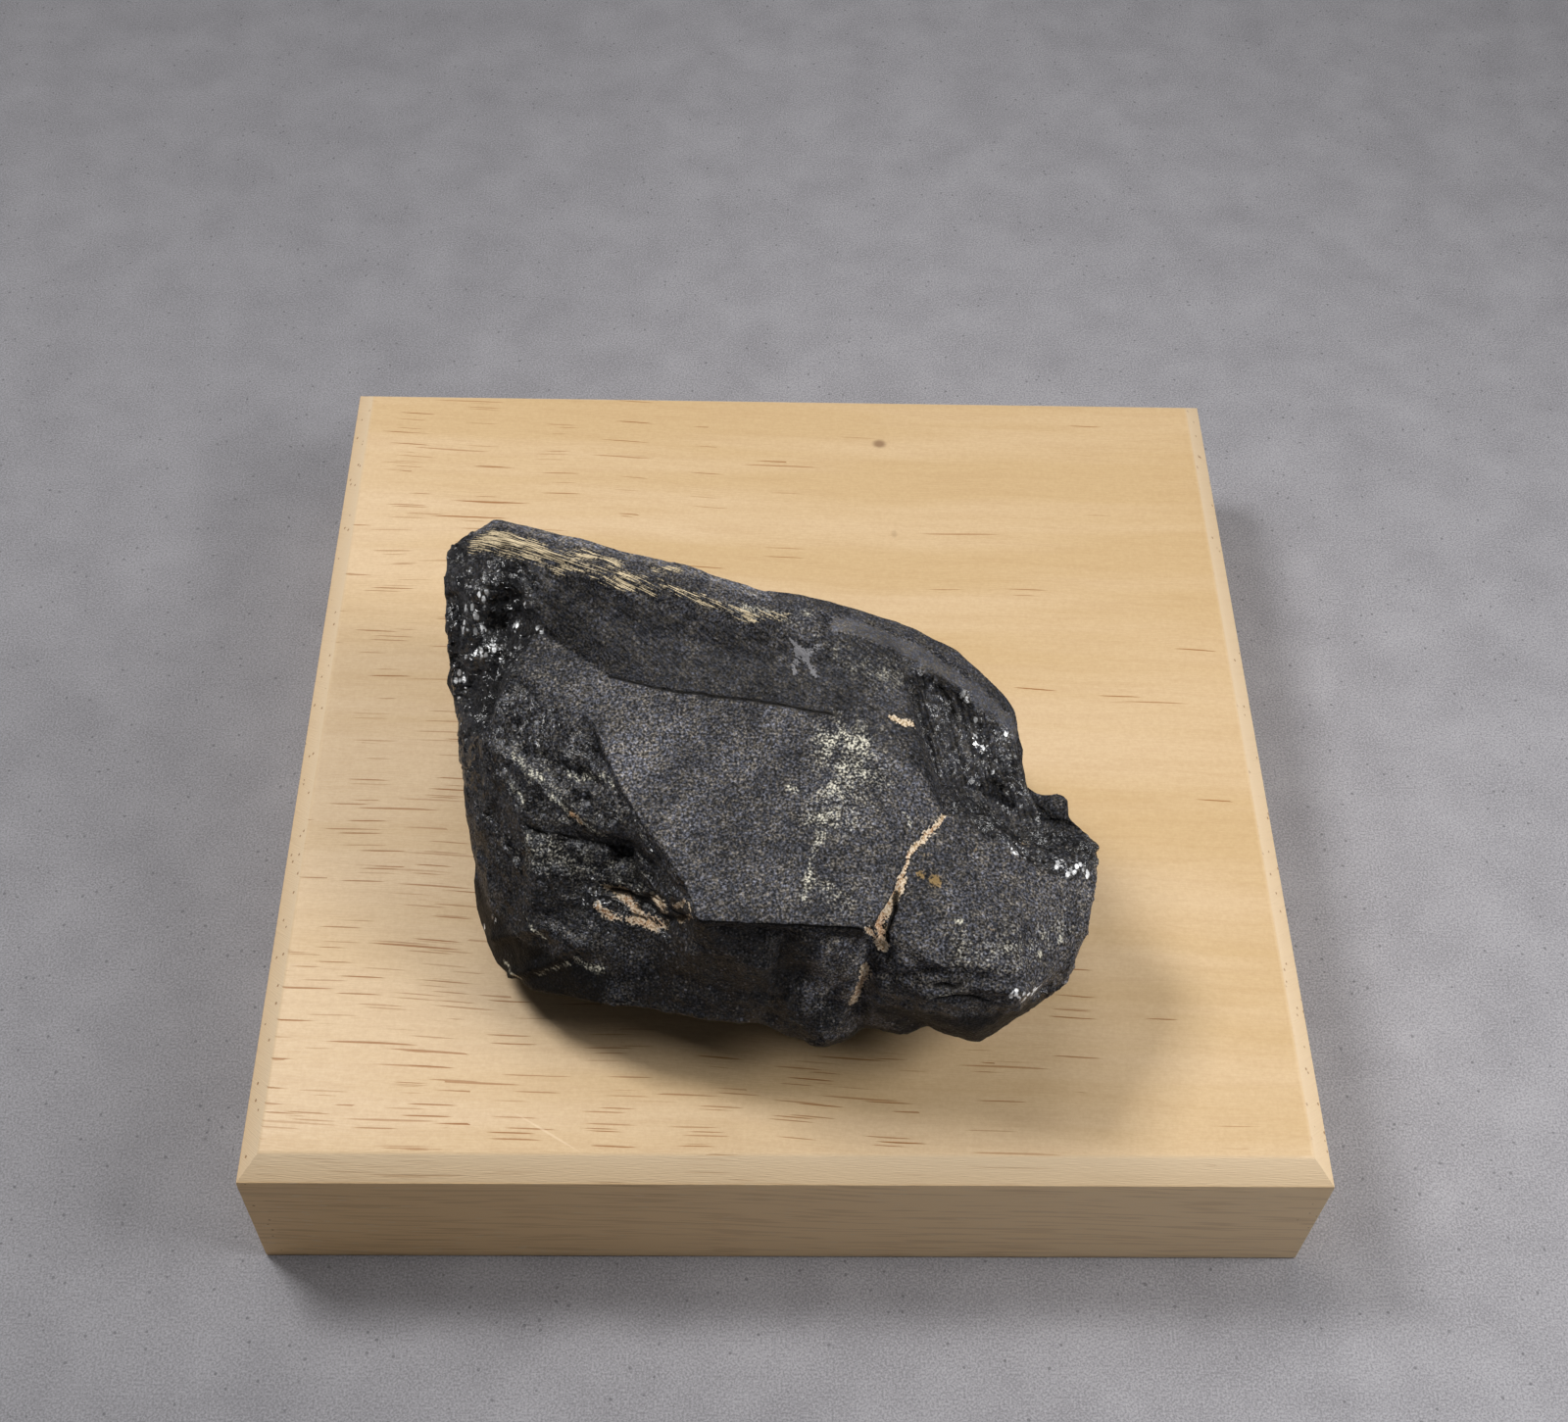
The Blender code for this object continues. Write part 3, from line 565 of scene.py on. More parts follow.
def zone_weights(places, widths, stations, wander):
    """Share of each zone at every point: a soft box in place and station, whose edges wander with the noise.

    The distance to each side of the box is measured in millimetres.
    """
    names = list(RIDGES)
    widths = np.maximum(widths, 1.0)
    place = places[:, None]
    weights = {}
    for name, (start, end, (first, last), *_) in ZONES.items():
        low = names.index(start[0]) + start[1]
        high = names.index(end[0]) + end[1]
        sides = (
            (place - low) * widths, (high - place) * widths,
            (stations - first) * STATION_STEP, (last - stations) * STATION_STEP,
        )
        edges = [smooth_step(-ZONE_SOFTNESS, ZONE_SOFTNESS, away + ZONE_WANDER * wander) for away in sides]
        weights[name] = np.prod(edges, axis=0)
    total = sum(weights.values())
    weights = {name: weight / np.maximum(total, 1.0) for name, weight in weights.items()}
    return weights, np.clip(1.0 - total, 0.0, 1.0)


def zone_values(weights, plain):
    """Tone, gloss and relief depths at every point: each zone's own values in proportion to its share."""
    return [
        plain * value + sum(weight * ZONES[name][3 + number] for name, weight in weights.items())
        for number, value in enumerate(PLAIN)
    ]


def fine_lines(points, stations, wall):
    """Noise drawn out along the crystal on a slant, and upright on the wall of the recess."""
    along = np.broadcast_to(stations * STATION_STEP, points.shape[:2])
    around = np.cumsum(np.linalg.norm(np.diff(points, axis=0, prepend=points[:1]), axis=-1), axis=0)
    across = (around - SLANT_SLOPE * along) / SLANT_WIDTH
    slant = np.stack([along / SLANT_LENGTH, across, np.zeros_like(along)], axis=-1)
    upright = points[..., [0, 2, 1]] / UPRIGHT_LENGTHS
    return np.where(
        wall > WALL_SHARE, fractal(upright, 1.0, 2, SEEDS["upright"]), fractal(slant, 1.0, 2, SEEDS["slant"])
    )


def crystal_arrays():
    """The skin's points and the values that its material reads, all on one grid.

    Each point of the softened strips moves along the skin's normal by the sum of lumps, folds, chips, lines,
    grain and cuts, which fades out towards both ends.
    """
    stations = np.linspace(0, LAST_STATION, LAST_STATION * COLUMNS_PER_STATION + 1)
    base, depth, places, widths = stretch_skin(stations)
    base = soften(base, SKIN_PASSES)
    wander = fractal(base, WANDER_CELL, 3, SEEDS["wander"])
    weights, plain = zone_weights(places, widths, stations, wander)
    tone, gloss, chip_depth, line_depth, grain_depth = zone_values(weights, plain)
    vein, vein_cut = path_field(base, VEINS, VEIN_WANDER * wander)
    crack, crack_cut = path_field(base, CRACKS, VEIN_WANDER * wander)

    relief = sum(
        lattice_noise(base, cell, SEEDS["relief"] + octave) / RELIEF_FALL**octave
        for octave, cell in enumerate(RELIEF_CELLS)
    )
    relief = relief * depth[:, None] + folds(base)
    relief += sum(height * bell(base, centre, reach) for centre, reach, height in LUMPS.values())
    small_chips = SMALL_CHIP_SHARE * chips(base, SMALL_CHIP_CELL, SEEDS["chips"] + 1)
    relief += chip_depth * (chips(base, CHIP_CELL, SEEDS["chips"]) + small_chips)
    relief += line_depth * fine_lines(base, stations, weights["recess_wall"])
    relief += grain_depth * fractal(base, GRAIN_CELL, 2, SEEDS["grain"])
    relief -= np.maximum(vein_cut, crack_cut)
    relief *= np.clip(np.minimum(stations, LAST_STATION - stations), 0.0, 1.0)
    points = base + outward(soften(base, NORMAL_PASSES)) * relief[..., None]
    points[..., 2] = np.maximum(points[..., 2], REST_GAP)

    # the tone times the patches, with their painted shade and painted sheen
    shades = [1.0 + (factor - 1.0) * bell(base, centre, reach) for centre, reach, factor in TONE_SHADE_AND_SHEEN]
    return points, {
        "tone": tone * np.prod(shades, axis=0), "gloss": gloss, "grain": grain_depth,
        "vein": vein, "crack": crack,
        "fibre": path_field(base, STRANDS, THIN_WANDER * wander)[1],
        "pale": path_field(base, PALE_MARKS, MARK_WANDER * wander)[1],
        "scar": path_field(base, SCARS, THIN_WANDER * wander)[1],
        "ochre": cones(base, OCHRE_SPOTS), "glint": cones(base, PAINTED_GLINTS),
        "lines": sum(weights[name] for name in LINED_ZONES), "wall": weights["recess_wall"],
    }


def closed_tube(points):
    """Points and faces of a grid that is closed round each station and drawn to one point at both ends."""
    rows, columns = points.shape[:2]
    vertices = np.concatenate([points[:, 1:-1].reshape(-1, 3), points[:1, 0], points[:1, -1]])
    inner = columns - 2
    number = np.arange(rows * inner).reshape(rows, inner)
    after = np.roll(number, -1, axis=0)
    quads = np.stack([number[:, :-1], after[:, :-1], after[:, 1:], number[:, 1:]], axis=-1).reshape(-1, 4)
    left, right = rows * inner, rows * inner + 1
    fan_left = np.stack([np.full(rows, left), after[:, 0], number[:, 0]], axis=-1)
    fan_right = np.stack([np.full(rows, right), number[:, -1], after[:, -1]], axis=-1)
    return vertices, [quads, np.concatenate([fan_left, fan_right])]


def mesh_from(name, vertices, face_groups):
    """A mesh from whole arrays of points and of faces, one array for each number of corners."""
    mesh = bpy.data.meshes.new(name)
    corners = np.concatenate([group.ravel() for group in face_groups])
    sizes = np.concatenate([np.full(len(group), group.shape[1]) for group in face_groups])
    starts = np.concatenate([[0], np.cumsum(sizes)[:-1]])
    mesh.vertices.add(len(vertices))
    mesh.vertices.foreach_set("co", vertices.astype(np.float32).ravel())
    mesh.loops.add(len(corners))
    mesh.loops.foreach_set("vertex_index", corners.astype(np.int32))
    mesh.polygons.add(len(sizes))
    mesh.polygons.foreach_set("loop_start", starts.astype(np.int32))
    mesh.polygons.foreach_set("loop_total", sizes.astype(np.int32))
    mesh.update(calc_edges=True)
    mesh.validate()
    return mesh


def add_object(name, data):
    """A new object in the scene, at the origin."""
    thing = bpy.data.objects.new(name, data)
    bpy.context.scene.collection.objects.link(thing)
    return thing


def add_tube(name, points, values, sharp_angle, material):
    """A closed tube with the values that its material reads, smooth but for edges sharper than an angle.

    Each end takes the mean of its column of values.
    """
    mesh = mesh_from(name, *closed_tube(points))
    for value, grid in values.items():
        stored = np.concatenate([grid[:, 1:-1].reshape(-1), [grid[:, 0].mean(), grid[:, -1].mean()]])
        attribute = mesh.attributes.new(value, "FLOAT", "POINT")
        attribute.data.foreach_set("value", stored.astype(np.float32))
    mesh.shade_smooth()
    mesh.set_sharp_from_angle(angle=math.radians(sharp_angle))
    mesh.materials.append(material)
    return add_object(name, mesh)


def make_crystal():
    """The skin in metres on the block's top, kept just under the highest point of the solid."""
    points, values = crystal_arrays()
    points = points * MM + (0.0, 0.0, BLOCK_HIGH[2])
    points[..., 2] = np.minimum(points[..., 2], CRYSTAL_TOP - TOP_ALLOWANCE * MM)
    return add_tube("crystal_skin", points, values, CRYSTAL_SHARP, rutile_material())


# ---------------------------------------------------------------- the wooden block

BLOCK_SHARP = 35.0
BLOCK_CHAMFER = 2.1
EDGE_ROUND = 0.25
TOP_RINGS = 46
SIDE_RINGS = 14
UNDER_RINGS = 8
POINTS_TO_A_SIDE = 52


def make_block():
    """Square rings from the middle of the top, out over the chamfer, down the sides and under to the middle.

    Each ring is the same square times its reach, at its own level above the block's foot.
    """
    low, high = BLOCK_LOW / MM, BLOCK_HIGH / MM
    height = high[2] - low[2]
    half = (high[0] - low[0]) / 2
    brow = height - BLOCK_CHAMFER
    flat = half - BLOCK_CHAMFER
    bend = EDGE_ROUND
    profile = np.array([
        (0.0, height),
        *((reach, height) for reach in np.linspace(0.06 * flat, flat - bend, TOP_RINGS)),
        (flat, height - 0.12 * bend), (flat + 0.7 * bend, height - 0.7 * bend),
        (half - 0.7 * bend, brow + 0.7 * bend), (half - 0.1 * bend, brow + 0.1 * bend), (half, brow - bend),
        *((half, share * brow) for share in np.linspace(0.9, 0.05, SIDE_RINGS)),
        (half, bend), (half - 0.3 * bend, 0.3 * bend), (half - bend, 0.0),
        *((reach, 0.0) for reach in np.linspace(flat, 0.1 * flat, UNDER_RINGS)),
        (0.0, 0.0),
    ])
    share = np.linspace(-1.0, 1.0, POINTS_TO_A_SIDE, endpoint=False)
    one = np.ones_like(share)
    edges = ((-share, -one), (-one, share), (share, one), (one, -share))
    square = np.concatenate([np.stack(edge, axis=-1) for edge in edges])
    points = np.empty((len(square), len(profile), 3))
    points[..., :2] = square[:, None] * profile[:, :1]
    points[..., 2] = profile[:, 1]
    below_brow = brow - points[..., 2]
    side = smooth_step(-0.3, 0.1, below_brow)
    chamfer = smooth_step(-0.02, 0.1, below_brow + BLOCK_CHAMFER) * (1.0 - side)
    foot = (*((low + high) / 2)[:2], low[2])
    points = (points + foot) * MM
    return add_tube("wooden_block", points, {"side": side, "chamfer": chamfer}, BLOCK_SHARP, wood_material())


# ---------------------------------------------------------------- material tools


class Wire:
    """An output of a node.  Sums, differences, products and quotients of wires add the nodes for them."""

    def __init__(self, socket):
        self.socket = socket

    def __getitem__(self, output):
        """Another output of the same node."""
        return Wire(self.socket.node.outputs[output])

    def __add__(self, other):
        return calc("ADD", self, other)

    def __sub__(self, other):
        return calc("SUBTRACT", self, other)

    def __rsub__(self, other):
        return calc("SUBTRACT", other, self)

    def __mul__(self, other):
        return calc("MULTIPLY", self, other)

    def __truediv__(self, other):
        return calc("DIVIDE", self, other)

    def __rtruediv__(self, other):
        return calc("DIVIDE", other, self)


def feed(node, inputs):
    """Gives each named or numbered input of a node a wire or a value; a colour gets full opacity."""
    for name, value in inputs.items():
        socket = node.inputs[name]
        if isinstance(value, Wire):
            node.id_data.links.new(value.socket, socket)
        elif socket.type == "RGBA":
            socket.default_value = (*value, 1.0)
        else:
            socket.default_value = value


def put(kind, inputs, output=0, **settings):
    """Adds a node to the tree of the wires that feed it, and gives back one of its outputs."""
    tree = next(value.socket.id_data for value in inputs.values() if isinstance(value, Wire))
    node = tree.nodes.new(kind)
    for name, value in settings.items():
        setattr(node, name, value)
    feed(node, inputs)
    return Wire(node.outputs[output])


def calc(operation, *values):
    """One step of arithmetic on numbers."""
    return put("ShaderNodeMath", dict(enumerate(values)), operation=operation)


def line(value, slope, start):
    """The value times a slope plus a start, each of them a number or a wire."""
    return calc("MULTIPLY_ADD", value, slope, start)


def vector_calc(operation, *values, output="Vector"):
    """One step of arithmetic on positions."""
    return put("ShaderNodeVectorMath", dict(enumerate(values)), output, operation=operation)


def dot(first, second):
    """How far the first vector reaches along the second."""
    return vector_calc("DOT_PRODUCT", first, second, output="Value")


def stretched(vector, lengths):
    """The position divided by a length in millimetres along each axis."""
    return vector_calc("DIVIDE", vector, lengths)


def split(vector):
    """The three coordinates of a position."""
    parts = put("ShaderNodeSeparateXYZ", {"Vector": vector})
    return parts[0], parts[1], parts[2]


def joined(x, y, z):
    """The position with these three coordinates."""
    return put("ShaderNodeCombineXYZ", {0: x, 1: y, 2: z})


def ramp(value, low, high, to_low=0.0, to_high=1.0):
    """Smooth change from one level to another as value goes from low to high."""
    inputs = {"Value": value, "From Min": low, "From Max": high, "To Min": to_low, "To Max": to_high}
    return put("ShaderNodeMapRange", inputs, interpolation_type="SMOOTHSTEP")


def mixed(factor, first, second):
    """The first number where the factor is 0, the second where it is 1."""
    return put("ShaderNodeMix", {0: factor, 2: first, 3: second})


def blend(factor, first, second):
    """The first colour where the factor is 0, the second where it is 1."""
    return put("ShaderNodeMix", {0: factor, 6: first, 7: second}, 2, data_type="RGBA")


def noise(vector, scale, detail=2.0, roughness=0.5):
    """Soft noise about 0.5, with about so many waves to a unit of the vector."""
    inputs = {"Vector": vector, "Scale": scale, "Detail": detail, "Roughness": roughness}
    return put("ShaderNodeTexNoise", inputs)


def bumped(height):
    """The normal of a surface with this height in millimetres."""
    return put("ShaderNodeBump", {"Height": height, "Strength": 1.0, "Distance": MM})


def use(group, **inputs):
    """The first output of a node group that is given these inputs."""
    return put("ShaderNodeGroup", inputs, node_tree=group)


def new_group(name, inputs, outputs):
    """An empty group, the wires of its inputs and its last node; an input without a value is a position."""
    group = bpy.data.node_groups.new(name, "ShaderNodeTree")
    for socket, value in inputs.items():
        kind = "NodeSocketVector" if value is None else "NodeSocketFloat"
        made = group.interface.new_socket(socket, in_out="INPUT", socket_type=kind)
        if value is not None:
            made.default_value = value
    for socket in outputs:
        group.interface.new_socket(socket, in_out="OUTPUT", socket_type="NodeSocketFloat")
    given = group.nodes.new("NodeGroupInput").outputs
    return group, [Wire(given[socket]) for socket in inputs], group.nodes.new("NodeGroupOutput")


def grain_group():
    """Mineral grain: noise of a given size, as a sharpened mask and as a height."""
    inputs = {"Position": None, "Size": 0.3, "Sharpness": 0.5}
    group, (position, size, sharpness), result = new_group("grain", inputs, ("Mask", "Height"))
    field = noise(position, 1.0 / size, 1.0)
    spread = line(sharpness, -0.24, 0.26)
    feed(result, {"Mask": ramp(field, 0.5 - spread, spread + 0.5), "Height": field})
    return group


def flecks_group():
    """Scattered flecks: a share of the cells of a cell pattern hold one, each with a soft rim."""
    inputs = {"Position": None, "Size": 1.0, "Share": 0.2, "Reach": 0.35}
    group, (position, size, share, reach), result = new_group("flecks", inputs, ("Mask", "Variety"))
    cells = put("ShaderNodeTexVoronoi", {"Vector": position, "Scale": 1.0 / size})
    parts = put("ShaderNodeSeparateColor", {"Color": cells["Color"]})
    chosen = calc("LESS_THAN", parts, share)
    body = ramp(cells["Distance"], reach * 0.7, reach, 1.0, 0.0)
    feed(result, {"Mask": chosen * body, "Variety": parts[1]})
    return group


def threads_group():
    """Long thin threads: noise drawn out along one coordinate, as a mask and as a height."""
    inputs = {"Along": 0.0, "Across": 0.0, "Length": 3.0, "Width": 0.2, "Share": 0.5}
    group, (along, across, length, width, share), result = new_group("threads", inputs, ("Mask", "Height"))
    field = noise(joined(along / length, across / width, 0.0), 1.0, 1.0, 0.55)
    middle = line(share, -0.4, 0.7)
    feed(result, {"Mask": ramp(field, middle - 0.06, middle + 0.06), "Height": field})
    return group


GRAIN = grain_group()
FLECKS = flecks_group()
THREADS = threads_group()


def new_material(name):
    """A new material, its shader and the wire of the position in millimetres."""
    material = bpy.data.materials.new(name)
    material.use_nodes = True
    place = Wire(material.node_tree.nodes.new("ShaderNodeTexCoord").outputs["Object"])
    place = put("ShaderNodeVectorMath", {"Vector": place, "Scale": 1.0 / MM}, operation="SCALE")
    return material, material.node_tree.nodes["Principled BSDF"], place


def carried(shader, *names):
    """The wires of values that the mesh carries under these names."""
    wires = []
    for name in names:
        node = shader.id_data.nodes.new("ShaderNodeAttribute")
        node.attribute_name = name
        wires.append(Wire(node.outputs["Fac"]))
    return wires


# ---------------------------------------------------------------- the crystal's material

BLACK = (0.0, 0.0, 0.0)
GRAIN_DARK = (0.003, 0.003, 0.003)
GRAIN_COOL = (0.92, 0.95, 1.16)
GRAIN_WARM = (1.12, 0.99, 0.84)
DUST = (0.85, 0.81, 0.66)
TAN = (0.42, 0.30, 0.17)
CREAM = (0.78, 0.65, 0.49)
FIBRE_DARK = (0.11, 0.085, 0.05)
FIBRE_PALE = (0.70, 0.57, 0.37)
RUST = (0.40, 0.20, 0.09)
OCHRE = (0.34, 0.22, 0.08)
BLUSH = (0.66, 0.38, 0.21)
UMBER = (0.006, 0.005, 0.004)
SCAR_GREY = (0.24, 0.235, 0.245)
# the white of the painted glints
PAINTED_GLINT_WHITE = (1.0, 1.0, 1.0)
# threads: the direction that they run in, the one across them, their length and their width
FIBRES = ((0.90, -0.43, 0.0), (0.40, 0.85, 0.35), 2.4, 0.11)
DASHES = ((0.78, -0.62, -0.1), (0.6, 0.75, 0.3), 0.9, 0.22)
STRIPES = ((0.05, -0.60, 0.80), (0.95, 0.30, 0.05), 1.2, 0.26)
GLINT_FLECK_LENGTHS = (0.4, 0.55, 1.0)
COARSE_FLAKE = 1.5
FINE_FLAKE = 0.45


def tilted_flakes(position, size):
    """Height of small flat flakes: in each cell a plane that leans its own way."""
    cells = put("ShaderNodeTexVoronoi", {"Vector": position, "Scale": 1.0 / size})
    away = vector_calc("SUBTRACT", position, cells["Position"])
    return dot(away, vector_calc("SUBTRACT", cells["Color"], (0.5, 0.5, 0.5)))


def edge_of(wanted, field, reach, low, high):
    """Mask of an area whose edge follows a noise field, which pushes the area's own value up or down."""
    return ramp(line(field - 0.5, reach, wanted), low, high) * ramp(wanted, 0.02, 0.15)


def running(place, run, cross, length, width):
    """Threads that run along one direction in space."""
    return use(THREADS, Along=dot(place, run), Across=dot(place, cross), Length=length, Width=width)


def rutile_material():
    """Mineral grain, and over it dust, fibres, ochre, veins, scars, cracks and painted glints, in that order.
    """
    material, shader, place = new_material("rutile")
    tone, gloss, grain, lines, wall = carried(shader, "tone", "gloss", "grain", "lines", "wall")
    pale, fibre, ochre, vein, scar = carried(shader, "pale", "fibre", "ochre", "vein", "scar")
    crack, glint = carried(shader, "crack", "glint")
    fine = use(GRAIN, Position=place, Size=0.22, Sharpness=0.55)
    medium = use(GRAIN, Position=place, Size=1.3, Sharpness=0.4)
    coarse = use(GRAIN, Position=place, Size=5.0, Sharpness=0.3)
    field = mixed(lines * 0.4, fine["Height"], running(place, *DASHES)["Height"])
    field = mixed(wall * 0.5, field, running(place, *STRIPES)["Height"])

    speckle = mixed(ramp(grain, 0.0, 0.04, 0.25, 1.0), 1.0, calc("POWER", field * 2.0, 3.6))
    mottle = line(coarse["Mask"], 0.4, line(medium["Mask"], 0.3, 0.45))
    specks = use(FLECKS, Position=place, Size=0.36, Share=0.3, Reach=0.42)
    specks = specks["Mask"] * specks["Variety"] * grain
    light = line(specks * mottle, 2.0, speckle * mottle * tone)
    hue = line(medium["Height"], 0.35, noise(place, 3.4, 1.0))
    colour = blend(light * 0.8, GRAIN_DARK, blend(ramp(hue, 0.5, 0.85), GRAIN_COOL, GRAIN_WARM))

    dust = pale * line(medium["Mask"], 0.8, 0.5) * line(speckle, 0.4, 0.05)
    pale_mask = ramp(dust, 0.05, 0.85)
    colour = blend(pale_mask * 0.9, colour, DUST)

    fibres = running(place, *FIBRES)["Height"]
    torn = line(fine["Height"], 0.5, line(medium["Height"], 0.4, line(fibres, 1.6, -0.75)))
    fibre_mask = edge_of(fibre, torn, 2.4, 0.42, 0.8)
    colour = blend(fibre_mask, colour, blend(ramp(fibres, 0.4, 0.58), FIBRE_DARK, FIBRE_PALE))
    colour = blend(edge_of(ochre, fine["Height"], 1.5, 0.45, 0.9) * 0.7, colour, OCHRE)

    ragged = line(medium["Height"], 0.7, fine["Height"] - 0.35)
    vein_mask = edge_of(vein, ragged, 1.3, 0.40, 0.62)
    vein_colour = blend(fine["Mask"], blend(medium["Mask"], RUST, TAN), CREAM)
    colour = blend(vein_mask, colour, blend(ochre * 0.75, vein_colour, BLUSH))
    colour = blend(edge_of(scar, fine["Height"], 2.2, 0.3, 0.6) * 0.8, colour, SCAR_GREY)
    colour = blend(edge_of(crack, fine["Height"], 1.2, 0.35, 0.6) * 0.92, colour, UMBER)

    # painted glints: flecks painted white where the glint field is strong, a painted highlight
    glint_flecks = use(FLECKS, Position=stretched(place, GLINT_FLECK_LENGTHS), Share=0.7, Reach=0.6)
    painted_glint = edge_of(glint, medium["Height"], 1.4, 0.2, 0.45) * glint_flecks["Mask"]
    painted_glint = painted_glint * ramp(glint_flecks["Variety"], 0.1, 0.7)

    soft_parts = calc("MAXIMUM", calc("MAXIMUM", vein_mask, fibre_mask), pale_mask)
    flakes = line(tilted_flakes(place, FINE_FLAKE), 1.2, tilted_flakes(place, COARSE_FLAKE) * 0.8)
    flakes = flakes * ramp(gloss, 0.45, 0.85, 0.06, 1.0)
    bump = bumped(line(vein_mask, 0.03, line(fibre_mask, 0.06, line(field, 0.14, flakes))))
    feed(shader, {
        "Base Color": blend(painted_glint, colour, PAINTED_GLINT_WHITE),
        "Roughness": calc("MAXIMUM", line(gloss, -0.22, 0.68), soft_parts * 0.8),
        "Specular IOR Level": 0.12,
        "Coat Weight": ramp(line(glint, 0.5, gloss), 0.4, 1.3) * (1.0 - soft_parts),
        "Coat IOR": 1.9,
        "Coat Roughness": 0.09,
        # the painted glints glow faintly, as painted highlights
        "Emission Color": blend(painted_glint * glint, BLACK, PAINTED_GLINT_WHITE),
        "Emission Strength": 0.2,
        "Normal": bump,
        "Coat Normal": bump,
    })
    return material


# ---------------------------------------------------------------- the wood

WOOD_PALE = (0.72, 0.53, 0.32)
WOOD_WARM = (0.62, 0.43, 0.215)
WOOD_VESSEL = (0.33, 0.135, 0.032)
# the sides' wood with painted light: brighter than the top, and paler still towards the right
WOOD_SIDE_LIT = (0.90, 0.60, 0.30)
WOOD_SIDE_LIT_RIGHT = (0.95, 0.70, 0.42)
# pale wood for scratches and dashes, and painted light on the chamfers
WOOD_PALE_AND_LIT_EDGE = (0.88, 0.68, 0.45)
WOOD_REDDISH = (0.40, 0.20, 0.08)
WOOD_KNOT = (0.24, 0.13, 0.06)
TOP_LEVEL = BLOCK_HIGH[2] / MM
KNOT = (11.5, 42.0, TOP_LEVEL)
SMALL_KNOT = (12.7, 27.8, TOP_LEVEL)
SCRATCH = (-22.4, -46.6, TOP_LEVEL)
SCRATCH_RUN = (0.85, -0.53, 0.0)
SCRATCH_CROSS = (0.53, 0.85, 0.0)
GRAIN_SLOPE = 0.045
# the lengths of the vessel lines' cells and their reach: long and wide ones, and short and narrow ones
VESSELS = (((20.0, 0.5, 6.0), 0.26), ((9.0, 0.3, 4.0), 0.3))
# towards the end faces the vessel lines fade out between these places along the grain
END_START, END_FULL = 48.6, 49.2


def spot(place, centre, lengths, inner):
    """Mask of a round or drawn-out spot: 1 within the inner share of its size and 0 outside it."""
    away = stretched(vector_calc("SUBTRACT", place, centre), lengths)
    return ramp(vector_calc("LENGTH", away, output="Value"), inner, 1.0, 1.0, 0.0)


def vessel_marks(x, y, drawn):
    """Thin dark dashes along the grain, crowded towards the left and the front."""
    patches = ramp(noise(stretched(drawn, (35.0, 6.0, 6.0)), 1.0), 0.35, 0.65, 0.45, 1.3)
    crowd = calc("MAXIMUM", line(x, -0.007, line(y, -0.004, 0.2)) * patches, 0.03)
    marks = []
    for lengths, reach in VESSELS:
        vessels = use(FLECKS, Position=stretched(drawn, lengths), Share=crowd, Reach=reach)
        marks.append(vessels["Mask"] * line(vessels["Variety"], 0.6, 0.4))
    return calc("MAXIMUM", *marks)


def side_wood(x, across, drawn):
    """The wood of the sides with painted light, brighter than the top and paler to the right, with reddish
    threads and light dashes.
    """
    # painted light: the sides are paler towards the right
    colour = blend(ramp(x, -50.0, 50.0), WOOD_SIDE_LIT, WOOD_SIDE_LIT_RIGHT)
    reddish = use(THREADS, Along=x, Across=across, Length=9.0, Width=0.5, Share=0.3)
    colour = blend(reddish["Mask"] * 0.25, colour, WOOD_REDDISH)
    dashes = use(FLECKS, Position=stretched(drawn, (2.0, 0.5, 2.0)), Share=0.4, Reach=0.28)
    return blend(dashes["Mask"] * 0.5, colour, WOOD_PALE_AND_LIT_EDGE)


def scratch_mask(place):
    """A thin straight scratch on the top: a long spot in coordinates turned along it."""
    away = vector_calc("SUBTRACT", place, SCRATCH)
    turned = joined(dot(away, SCRATCH_RUN), dot(away, SCRATCH_CROSS), 0.0)
    return spot(turned, (0.0, 0.0, 0.0), (4.8, 0.16, 1.0), 0.3)


